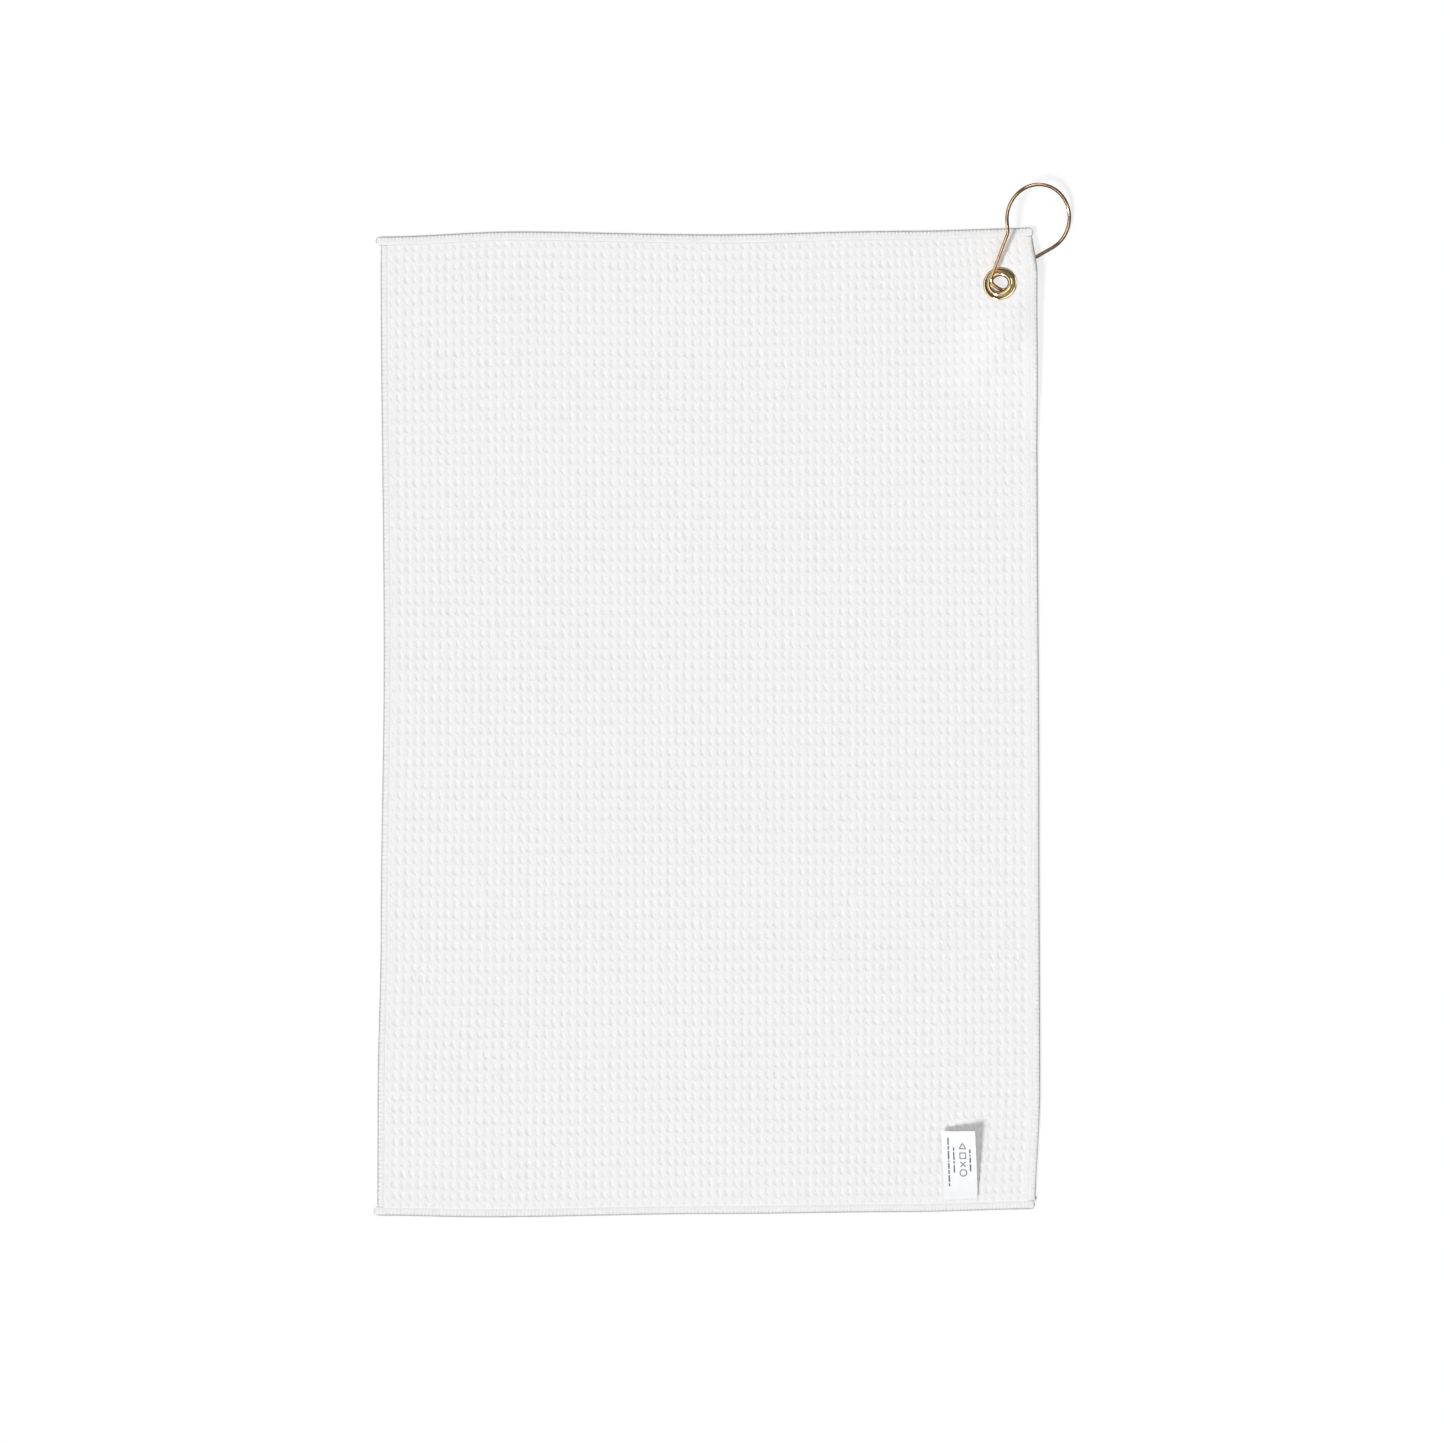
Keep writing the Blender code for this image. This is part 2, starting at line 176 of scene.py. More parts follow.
class NodeTree:
    """A tree of shader nodes: makes nodes, and gives their outputs as values."""

    def __init__(self, tree: bpy.types.NodeTree) -> None:
        """Works on a tree that is already there."""
        self.tree = tree

    def node(
        self,
        kind: str,
        settings: dict[str, Any] | None = None,
        sockets: dict[Any, Any] | None = None,
    ) -> bpy.types.Node:
        """Adds a node.

        Args:
            kind: The node's type.
            settings: Its settings, set first. A ramp's stops are (place, grey) pairs.
            sockets: Values or links of its inputs, by name or number.

        Returns:
            The node.
        """
        node = self.tree.nodes.new(kind)
        for name, setting in (settings or {}).items():
            if name == "stops":
                self._set_stops(node.color_ramp, setting)
            else:
                setattr(node, name, setting)
        for key, given in (sockets or {}).items():
            self.feed(node.inputs[key], given)
        return node

    def _set_stops(self, ramp: bpy.types.ColorRamp, stops: tuple[tuple[float, float], ...]) -> None:
        """Gives a ramp its stops."""
        while len(ramp.elements) < len(stops):
            ramp.elements.new(1.0)
        for element, (place, grey) in zip(ramp.elements, stops):
            element.position = place
            element.color = (grey, grey, grey, 1.0)

    def feed(self, socket: bpy.types.NodeSocket, given: Any) -> None:
        """Links a value, an output socket or a constant to an input socket."""
        if isinstance(given, Value):
            self.tree.links.new(given.socket, socket)
        elif isinstance(given, bpy.types.NodeSocket):
            self.tree.links.new(given, socket)
        elif isinstance(given, tuple) and len(given) == 3 and socket.type == "RGBA":
            socket.default_value = (*given, 1.0)
        else:
            socket.default_value = given

    def value(
        self,
        kind: str,
        settings: dict[str, Any] | None = None,
        sockets: dict[Any, Any] | None = None,
        output: Any = 0,
    ) -> Value:
        """Adds a node, and gives one of its outputs as a value."""
        return Value(self, self.node(kind, settings, sockets).outputs[output])


class SurfaceMaths(NodeTree):
    """The node tree of one material, with the patterns that the finishes are made of."""

    def __init__(self, name: str) -> None:
        """Starts a material with only a Principled shader and its output."""
        self.material = bpy.data.materials.new(name)
        self.material.use_nodes = True
        super().__init__(self.material.node_tree)
        self.shader = self.tree.nodes["Principled BSDF"]

    def set(self, **constants: Any) -> None:
        """Sets the shader's own sockets, named with _ for a space."""
        for name, constant in constants.items():
            self.feed(self.shader.inputs[name.replace("_", " ")], constant)

    def place(self) -> bpy.types.NodeSocket:
        """The point of the surface, in the object's own metres."""
        return self.node("ShaderNodeTexCoord").outputs["Object"]

    def attribute(self, name: str) -> tuple[Value, Value, Value]:
        """The three numbers of a vector that the mesh carries at each point."""
        source = self.node("ShaderNodeAttribute", {"attribute_name": name})
        split = self.node("ShaderNodeSeparateXYZ", None, {0: source.outputs["Vector"]})
        return tuple(Value(self, output) for output in split.outputs)

    def noise(self, scale: float, detail: float = 2.0, where: Any = None) -> Value:
        """Soft noise from 0 to 1.

        Args:
            scale: Waves to the metre.
            detail: How many finer layers it has.
            where: The point that it is read at, or the object's place.

        Returns:
            The noise.
        """
        point = where or self.place()
        sockets = {"Vector": point, "Scale": scale, "Detail": detail}
        return self.value("ShaderNodeTexNoise", None, sockets)

    def vector(self, x: Number, y: Number, z: Number) -> bpy.types.NodeSocket:
        """Three values as one vector."""
        return self.node("ShaderNodeCombineXYZ", None, {0: x, 1: y, 2: z}).outputs[0]

    def mix(self, share: Number, low: Any, high: Any) -> bpy.types.NodeSocket:
        """A colour between two: low at share 0, and high at share 1."""
        settings = {"data_type": "RGBA"}
        mixer = self.node("ShaderNodeMix", settings, {0: share, 6: low, 7: high})
        return mixer.outputs[2]

    def bump(self, height: Value, distance: float, strength: float = 1.0) -> None:
        """Raises the shading by a height from 0 to 1, times a distance in metres."""
        sockets = {"Height": height, "Distance": distance, "Strength": strength}
        bumped = self.node("ShaderNodeBump", None, sockets)
        self.feed(self.shader.inputs["Normal"], bumped.outputs[0])

    def fract(self, value: Value) -> Value:
        """The part of a value after its whole number."""
        return value.maths("FRACT", value)

    def size(self, value: Value) -> Value:
        """The value without its sign."""
        return value.maths("ABSOLUTE", value)

    def wave(self, value: Value) -> Value:
        """A wave from 0 to 1 that repeats with each whole number."""
        return value.maths("COSINE", value * math.tau) * 0.5 + 0.5

    def ease(self, value: Value, low: float, high: float) -> Value:
        """0 at low, 1 at high, and smooth between them."""
        settings = {"interpolation_type": "SMOOTHSTEP"}
        sockets = {"Value": value, "From Min": low, "From Max": high}
        return self.value("ShaderNodeMapRange", settings, sockets)


# ---------------------------------------------------------------- the waffle


@dataclass(frozen=True)
class Waffle:
    """The relief of the cloth: rows of rounded lobes with slanted pits between them."""

    width: float = 5.08
    height: float = 6.7
    depth: float = 0.7
    lean: float = 0.16
    flare: float = 0.27
    weave_name: str = "weave"

    def hollow(self, across: Any, up: Any, maths: Any) -> Any:
        """How deep the cloth is pressed in, from 0 on a lobe to 1 in a pit.

        Args:
            across: Place along the row, counted in cells.
            up: Place along the column, counted in cells.
            maths: ArrayMaths for arrays, or a SurfaceMaths for a material.

        Returns:
            The depth at each place.
        """
        # level runs up through one cell and beside across it; both are 0 near the pit's middle.
        level = maths.fract(up + 0.1) - 0.6
        beside = maths.fract(across + level * self.lean + 0.5) - 0.5
        flare = maths.size(beside) - self.flare * (1 - maths.ease(level, -0.45, 0.3))
        sides = 1 - maths.ease(flare, -0.02, 0.2)
        foot = maths.ease(level + beside * 0.6, -0.46, -0.3)
        head = 1 - maths.ease(level, 0.1, 0.4)
        core = 1 - maths.ease(maths.size(beside), 0.04, 0.26) * 0.35
        return sides * foot * head * core


WAFFLE = Waffle()


# ---------------------------------------------------------------- finishes


@dataclass(frozen=True)
class WaffleCloth:
    """White brushed microfibre, woven in a waffle."""

    slot: str = "waffle_cloth"
    white: Colour = (0.832, 0.829, 0.828)
    shaded: Colour = (0.70, 0.70, 0.703)
    stitch_rows: float = 8.0
    stitch_columns: float = 6.0

    def material(self) -> bpy.types.Material:
        """The cloth's material, which follows the weave carried by the mesh."""
        nodes = SurfaceMaths("white_waffle_cloth")
        across, up, relief = nodes.attribute(WAFFLE.weave_name)
        cells = nodes.vector(across, up, 0.0)
        uneven = nodes.noise(1.1, 2.0, cells)
        drift = nodes.noise(0.45, 1.0, cells) * 0.3 - 0.15
        bend = nodes.noise(1.5, 2.0, cells) * 0.5 - 0.25
        hollow = WAFFLE.hollow(across + drift + bend, up - drift + bend * 0.4, nodes) * relief
        hollow = hollow * (uneven * 2.0 - 0.1)
        pile = nodes.noise(2200.0, 3.0)
        tufts = nodes.noise(760.0, 2.0)
        tone = nodes.noise(9.0, 2.0)
        knit_across = nodes.wave(across * self.stitch_columns + up * 0.5)
        knit = knit_across * nodes.wave(up * self.stitch_rows)
        # Painted shade: the hollow term darkens the waffle's pits, standing in for the shade inside
        # them; pile, tufts and tone are the cloth's own uneven whiteness.
        shade = hollow * 0.34 + pile * 0.12 + tufts * 0.75 + tone * 0.12 - 0.32
        nodes.set(Base_Color=nodes.mix(nodes.ease(shade, 0.0, 1.0), self.white, self.shaded))
        nodes.set(Roughness=pile * 0.12 + 0.84, Sheen_Weight=0.2, Sheen_Roughness=0.6)
        nodes.set(Specular_IOR_Level=0.15)
        height = 1 - hollow * 0.65 + knit * 0.1 + pile * 0.14 + tufts * 0.75
        nodes.bump(height, WAFFLE.depth * MM * 0.6, 0.54)
        return nodes.material


@dataclass(frozen=True)
class Yarn:
    """White texturised polyester sewing thread."""

    slot: str = "overlock_thread"
    white: Colour = (0.82, 0.818, 0.818)
    shaded: Colour = (0.72, 0.72, 0.725)
    # Painted shadow: the near-black grey of the outermost thread, standing in for the shade and
    # contact shadow at the cloth's rounded edge.
    painted_edge_shadow: Colour = (0.22, 0.22, 0.225)

    def material(self) -> bpy.types.Material:
        """The thread's material: fine filaments with a little fuzz, and a painted dark shadow along
        the cloth's outer edge.
        """
        nodes = SurfaceMaths("white_overlock_yarn")
        rim, _, _ = nodes.attribute("rim")
        filaments = nodes.noise(5200.0, 2.0)
        tone = nodes.noise(260.0, 1.0)
        share = nodes.ease(filaments * 0.6 + tone * 0.4, 0.35, 0.9)
        plain = nodes.mix(share, self.white, self.shaded)
        # Painted shadow: the outermost thread, marked by rim, is darkened towards a near-black grey
        # that stands in for the shade under the cloth's rounded edge.
        nodes.set(Base_Color=nodes.mix(rim * (tone * 0.3 + 0.75), plain, self.painted_edge_shadow))
        nodes.set(Roughness=filaments * 0.2 + 0.6, Sheen_Weight=0.15, Specular_IOR_Level=0.3)
        nodes.bump(filaments, 0.12 * MM, 0.7)
        return nodes.material


@dataclass(frozen=True)
class PolishedMetal:
    """Bright plated metal with worn spots, faint scratches and finger marks."""

    name: str
    slot: str
    bright: Colour
    worn: Colour
    rough: float
    scratch_scale: float

    def material(self) -> bpy.types.Material:
        """The metal's material."""
        nodes = SurfaceMaths(self.name)
        place = nodes.place()
        smudge = nodes.noise(420.0, 3.0, place)
        scratch = nodes.noise(self.scratch_scale, 2.0, place)
        grain = nodes.noise(self.scratch_scale * 6, 1.0, place)
        wear = nodes.ease(smudge, 0.45, 0.8)
        nodes.set(Base_Color=nodes.mix(wear, self.bright, self.worn))
        nodes.set(Metallic=1.0, Roughness=smudge * 0.14 + scratch * 0.06 + self.rough)
        nodes.bump(scratch * 0.6 + grain * 0.4, 0.012 * MM, 0.5)
        return nodes.material


@dataclass(frozen=True)
class SatinTape:
    """White woven satin, with a fine weft across it and a soft gloss."""

    slot: str = "satin_tape"
    white: Colour = (0.86, 0.865, 0.885)
    shaded: Colour = (0.77, 0.785, 0.82)
    wefts: float = 120.0
    warps: float = 90.0

    def material(self) -> bpy.types.Material:
        """The tape's material, whose threads follow the tape."""
        nodes = SurfaceMaths("white_satin_tape")
        across, up, _ = nodes.attribute("tape")
        wefts = nodes.wave(up * self.wefts)
        warps = nodes.wave(across * self.warps + wefts * 0.2)
        tone = nodes.noise(90.0, 2.0)
        share = nodes.ease(tone * 0.8 + wefts * 0.12 + warps * 0.08, 0.25, 0.85)
        nodes.set(Base_Color=nodes.mix(share, self.white, self.shaded))
        nodes.set(Roughness=tone * 0.15 + 0.36, Sheen_Weight=0.1, Specular_IOR_Level=0.4)
        nodes.bump(wefts * 0.6 + warps * 0.4, 0.03 * MM, 0.5)
        return nodes.material


@dataclass(frozen=True)
class PrintedInk:
    """Grey ink, dry and slightly uneven, as printed on tape."""

    slot: str = "satin_tape"
    dark: Colour = (0.09, 0.09, 0.095)
    thin: Colour = (0.24, 0.24, 0.25)

    def material(self) -> bpy.types.Material:
        """The ink's material."""
        nodes = SurfaceMaths("grey_print")
        cover = nodes.noise(1900.0, 2.0)
        nodes.set(Base_Color=nodes.mix(nodes.ease(cover, 0.4, 0.75), self.dark, self.thin))
        nodes.set(Roughness=cover * 0.2 + 0.6)
        nodes.bump(cover, 0.01 * MM, 0.4)
        return nodes.material


BRASS = PolishedMetal(
    "pale_brass_plate", "brass", (0.94, 0.75, 0.43), (0.74, 0.52, 0.23), 0.04, 1500.0
)
COPPER = PolishedMetal(
    "copper_plated_wire", "copper_wire", (0.90, 0.58, 0.35), (0.62, 0.33, 0.17), 0.04, 1300.0
)


# ---------------------------------------------------------------- mesh helpers


def deselect_all() -> None:
    """Leaves edit mode and selects nothing."""
    if bpy.context.object and bpy.context.object.mode != "OBJECT":
        bpy.ops.object.mode_set(mode="OBJECT")
    bpy.ops.object.select_all(action="DESELECT")


def select_only(obj: bpy.types.Object) -> None:
    """Selects one object and makes it the active one."""
    deselect_all()
    obj.select_set(True)
    bpy.context.view_layer.objects.active = obj


def apply_place(obj: bpy.types.Object) -> None:
    """Puts an object's place, turn and size into its mesh."""
    select_only(obj)
    bpy.ops.object.transform_apply(location=True, rotation=True, scale=True)


def join(name: str, parts: list[bpy.types.Object]) -> bpy.types.Object:
    """Joins meshes into one object.

    Args:
        name: The name of the joined object.
        parts: The objects, of which the first is kept.

    Returns:
        The joined object.
    """
    select_only(parts[0])
    for part in parts[1:]:
        part.select_set(True)
    if len(parts) > 1:
        bpy.ops.object.join()
    parts[0].name = name
    parts[0].data.name = name
    return parts[0]


def smooth(obj: bpy.types.Object, angle: float = 180.0) -> None:
    """Shades an object smooth, with edges sharper than an angle left sharp."""
    select_only(obj)
    if angle >= 180:
        bpy.ops.object.shade_smooth()
    else:
        bpy.ops.object.shade_smooth_by_angle(angle=math.radians(angle))


@contextmanager
def editing(obj: bpy.types.Object, select: str = "SELECT") -> Iterator[None]:
    """Edit mode on one object, with all of its mesh selected or, by DESELECT, none of it."""
    select_only(obj)
    bpy.ops.object.mode_set(mode="EDIT")
    bpy.ops.mesh.select_all(action=select)
    yield
    bpy.ops.object.mode_set(mode="OBJECT")


def face_outwards(obj: bpy.types.Object, merge: float = 0.01) -> None:
    """Merges points closer than a distance in millimetres, and turns every face outwards."""
    with editing(obj):
        bpy.ops.mesh.remove_doubles(threshold=merge * MM)
        bpy.ops.mesh.normals_make_consistent(inside=False)


MADE_FINISHES: dict[Any, bpy.types.Material] = {}


def dress(obj: bpy.types.Object, finish: Any) -> None:
    """Gives an object its finish, made once for all its pieces."""
    if finish not in MADE_FINISHES:
        MADE_FINISHES[finish] = finish.material()
    obj.data.materials.clear()
    obj.data.materials.append(MADE_FINISHES[finish])


def grid(name: str, columns: int, rows: int) -> tuple[bpy.types.Object, Array, Array]:
    """A flat grid, to be shaped by moving its points.

    Args:
        name: The object's name.
        columns: How many columns of points it has.
        rows: How many rows of points it has.

    Returns:
        The object, and each point's column and row number.
    """
    deselect_all()
    bpy.ops.mesh.primitive_grid_add(x_subdivisions=columns - 1, y_subdivisions=rows - 1, size=1)
    obj = bpy.context.object
    obj.name = obj.data.name = name
    flat = points_of(obj)
    column = np.rint((flat[:, 0] + 0.5) * (columns - 1)).astype(int)
    row = np.rint((flat[:, 1] + 0.5) * (rows - 1)).astype(int)
    return obj, column, row


def points_of(obj: bpy.types.Object) -> Array:
    """The points of a mesh, one in each row."""
    flat = np.zeros(len(obj.data.vertices) * 3)
    obj.data.vertices.foreach_get("co", flat)
    return flat.reshape(-1, 3)


def move_points(obj: bpy.types.Object, places: Array) -> None:
    """Moves the points of a mesh to new places."""
    obj.data.vertices.foreach_set("co", np.asarray(places, float).ravel())
    obj.data.update()


def carry(obj: bpy.types.Object, name: str, vectors: Array) -> None:
    """Stores a vector at each point of a mesh, for its material to read."""
    store = obj.data.attributes.new(name, "FLOAT_VECTOR", "POINT")
    store.data.foreach_set("vector", np.asarray(vectors, float).ravel())


def tube(name: str, path: Array, radius: float, sides: int = 2) -> bpy.types.Object:
    """A round wire or thread along a path, as a mesh with closed ends.

    Args:
        name: The object's name.
        path: Its middle line, in metres.
        radius: Its radius, in metres.
        sides: The bevel resolution: 1 gives 6 sides, 2 gives 8 and 6 gives 16.

    Returns:
        The object.
    """
    curve = bpy.data.curves.new(name, "CURVE")
    curve.dimensions = "3D"
    curve.bevel_depth = radius
    curve.bevel_resolution = sides
    curve.use_fill_caps = True
    spline = curve.splines.new("POLY")
    spline.points.add(len(path) - 1)
    spline.points.foreach_set("co", np.c_[path, np.ones(len(path))].ravel())
    obj = bpy.data.objects.new(name, curve)
    bpy.context.scene.collection.objects.link(obj)
    select_only(obj)
    bpy.ops.object.convert(target="MESH")
    made = bpy.context.object
    face_outwards(made, 0.001)
    return made


# ---------------------------------------------------------------- the lie of the cloth


@dataclass(frozen=True)
class ClothShape:
    """How the towel lies: its wandering outline, and its corner raised over the hook.

    It repeats the drawing of the frame's panel, in millimetres.
    """

    width: float = 406.4
    length: float = 609.6
    thickness: float = 2.0
    left: tuple = ((-305, 3.2), (-230, 3.0), (-130, 1.1), (40, -0.8), (288, 1.1), (305, 0.9))
    right: tuple = ((-305, -1.0), (-230, 1.9), (-60, 1.4), (200, 0.2), (275, -0.5), (305, -3.6))
    top: tuple = ((-203, -1.9), (-120, 1.2), (0, -0.6), (120, 1.6), (203, 3.4))
    bottom: tuple = ((-203, 0.2), (-140, 1.2), (0, -0.8), (120, -2.0), (203, -3.8))
    corner_rise: float = 6.4
    softness: float = 0.8
    level_length: float = 11.0
    rise_length: float = 80.0
    sink_ahead: float = 0.4
    ahead_span: tuple = (14.0, 55.0)
    sink_beside: float = 0.35
    beside_span: tuple = (14.0, 34.0)

    def rise(self, x: Array, y: Array) -> Array:
        """Height of the middle surface over its height where the towel lies flat."""
        centre, axis = joint("hook_swivel")
        along = joint("hook_roll")[1]
        heading = math.atan2(along.y, along.x)
        tilt = math.acos(axis.z)
        dx = x - centre.x / MM
        dy = y - centre.y / MM
        ahead = dx * math.cos(heading) + dy * math.sin(heading)
        right = dx * math.sin(heading) - dy * math.cos(heading)
        slope = centre.z / MM - self.thickness / 2 + math.tan(tilt) * right
        lifted = self.softness * np.logaddexp(0, slope / self.softness)
        room = (self.corner_rise - lifted) / self.softness
        held = self.corner_rise - self.softness * np.logaddexp(0, room)
        behind = 1 - ease(-ahead, self.level_length, self.rise_length)
        before = 1 - self.sink_ahead * ease(ahead, *self.ahead_span)
        beside = 1 - self.sink_beside * ease(right, *self.beside_span)
        return np.maximum(held, 0.0) * behind * before * beside

    def spot(self, x: Array, y: Array) -> tuple[Array, Array]:
        """Where a point of the straight-edged cloth lies, seen from above.

        Args:
            x: Place across the cloth.
            y: Place along the cloth.

        Returns:
            The two coordinates with the outline's wander.
        """
        across = x / (self.width / 2)
        up = y / (self.length / 2)
        side = np.where(across > 0, eased_table(self.right, y), -eased_table(self.left, y))
        end = np.where(up > 0, eased_table(self.top, x), -eased_table(self.bottom, x))
        moved_x = x + side * ease(np.abs(across), 0.2, 0.95)
        return moved_x, y + end * ease(np.abs(up), 0.2, 0.96)

    def lift(self, x: Array, y: Array, height: Array) -> Array:
        """Points at a height over the middle surface, square to it.

        Args:
            x: Place seen from above.
            y: Place seen from above.
            height: How far over the middle surface, or under it where negative.

        Returns:
            The points, in millimetres, one in each row.
        """
        step = 0.5
        level = self.rise(x, y)
        slope_x = (self.rise(x + step, y) - level) / step
        slope_y = (self.rise(x, y + step) - level) / step
        long = np.sqrt(1 + slope_x**2 + slope_y**2)
        up = self.thickness / 2 + level + height / long
        return np.c_[x - height * slope_x / long, y - height * slope_y / long, up]


SHAPE = ClothShape()


# ---------------------------------------------------------------- the panel


@dataclass
class TowelPanel:
    """The waffle cloth: a fine relief above, a coarser one below, and a pinched rim."""

    shape: ClothShape = SHAPE
    side_band: float = 5.0
    hem_band: float = 5.6
    rim: float = 0.7
    rim_half: float = 0.3
    pinch_half: float = 0.35
    hole_radius: float = 6.3
    washer_radius: float = 10.5
    swell: float = 2.6
    overlap: float = 0.4
    pinch_line: float = 1.2
    lines_above: tuple = ((0.0, 0.27, 0.66), (0.16, 0.5, 0.83))
    lines_below: tuple = ((0.0, 0.5), (0.02, 0.5))

    def build(self) -> bpy.types.Object:
        above = self._side("towel_cloth", self.lines_above, 1)
        below = self._side("towel_underside", self.lines_below, -1)
        cloth = join("towel_cloth", [above, below])
        self._close(cloth)
        smooth(cloth)
        dress(cloth, WaffleCloth())
        return cloth

    def _lines(self, half: float, band: float, cell: float, phases: tuple) -> Array:
        """Where the grid lines run: evenly in each cell, with two along each rim."""
        reach = half - band + self.overlap
        cells = math.ceil(reach / cell)
        inner = [(turn + phase) * cell for turn in range(-cells, cells) for phase in phases]
        inner = [place for place in inner if abs(place) < reach - self.overlap]
        outer = [half - self.rim, half - band + self.pinch_line, reach]
        return np.array([-place for place in outer] + inner + outer[::-1])

    def _side(self, name: str, phases: tuple, way: int) -> bpy.types.Object:
        """One face of the cloth.

        Args:
            name: The object's name.
            phases: Where the grid lines run in each cell, across and up.
            way: 1 for the upper face, and -1 for the under one.

        Returns:
            The face, with the weave stored at its points.
        """
        xs = self._lines(self.shape.width / 2, self.side_band, WAFFLE.width, phases[0])
        ys = self._lines(self.shape.length / 2, self.hem_band, WAFFLE.height, phases[1])
        side, column, row = grid(name, len(xs), len(ys))
        across, up = xs[column], ys[row]
        x, y = self.shape.spot(across, up)
        half, relief = self._half_thickness(across, up, x, y)
        move_points(side, self.shape.lift(x, y, way * half) * MM)
        weave = np.c_[across / WAFFLE.width, up / WAFFLE.height, relief]
        carry(side, WAFFLE.weave_name, weave)
        if way < 0:
            with editing(side):
                bpy.ops.mesh.flip_normals()
        return side

    def _half_thickness(self, across: Array, up: Array, x: Array, y: Array) -> tuple[Array, Array]:
        """Half the cloth's thickness at each point, and how much of the relief shows there."""
        inset_x = self.shape.width / 2 - self.side_band - np.abs(across)
        inset_y = self.shape.length / 2 - self.hem_band - np.abs(up)
        inset = np.minimum(inset_x, inset_y)
        away = self._from_axis(np.c_[x, y, self.shape.thickness / 2 + self.shape.rise(x, y)])
        grip = ease(away, self.washer_radius + 0.2, self.washer_radius + self.swell)
        relief = ease(inset, 0.0, 1.6) * grip
        cells = np.c_[across / WAFFLE.width, up / WAFFLE.height]
        uneven = np.array([noise.noise((u * 0.9, v * 0.9, 3.0)) for u, v in cells])
        hollow = WAFFLE.hollow(cells[:, 0], cells[:, 1], ArrayMaths) * (0.9 + 0.6 * uneven)
        full = self.shape.thickness / 2 - WAFFLE.depth * hollow * relief
        full -= 0.12 * (1 - relief)
        half = self.pinch_half + (full - self.pinch_half) * grip
        inside = ease(inset, -1.1, -0.5)
        return self.rim_half + (half - self.rim_half) * inside, relief

    def _from_axis(self, points: Array) -> Array:
        """How far points are from the grommet's axis, in millimetres."""
        centre, axis = joint("hook_swivel")
        away = points - np.array(centre) / MM
        along = away @ np.array(axis)
        return np.sqrt(np.maximum((away**2).sum(1) - along**2, 0))

    def _close(self, cloth: bpy.types.Object) -> None:
        """Cuts the round hole in both faces, and joins the faces at the rim and the hole."""
        mesh = bmesh.new()
        mesh.from_mesh(cloth.data)
        centres = np.array([face.calc_center_median() for face in mesh.faces]) / MM
        inside = self._from_axis(centres) < self.hole_radius
        inside &= np.abs(centres[:, 0] - joint("hook_swivel")[0].x / MM) < 4 * self.hole_radius
        gone = [face for face, within in zip(mesh.faces, inside) if within]
        bmesh.ops.delete(mesh, geom=gone, context="FACES")
        open_edges = [edge for edge in mesh.edges if edge.is_boundary]
        middles = np.array([(e.verts[0].co + e.verts[1].co) / 2 for e in open_edges]) / MM
        near = self._from_axis(middles) < 2 * self.hole_radius
        hole = [edge for edge, close in zip(open_edges, near) if close]
        rim = [edge for edge, close in zip(open_edges, near) if not close]
        self._round_hole(hole)
        bmesh.ops.bridge_loops(mesh, edges=hole)
        bmesh.ops.bridge_loops(mesh, edges=rim)
        bmesh.ops.recalc_face_normals(mesh, faces=mesh.faces)
        mesh.to_mesh(cloth.data)
        mesh.free()

    def _round_hole(self, edges: list[bmesh.types.BMEdge]) -> None:
        """Moves the hole's points to a circle about the grommet's axis."""
        centre, axis = joint("hook_swivel")
        for vert in {vert for edge in edges for vert in edge.verts}:
            away = vert.co - centre
            along = axis * away.dot(axis)
            vert.co = centre + along + (away - along).normalized() * (self.hole_radius * MM)


# ---------------------------------------------------------------- the overlocked edges


class Edge(Enum):
    """The four edges of the cloth."""

    TOP = "top"
    BOTTOM = "bottom"
    LEFT = "left"
    RIGHT = "right"


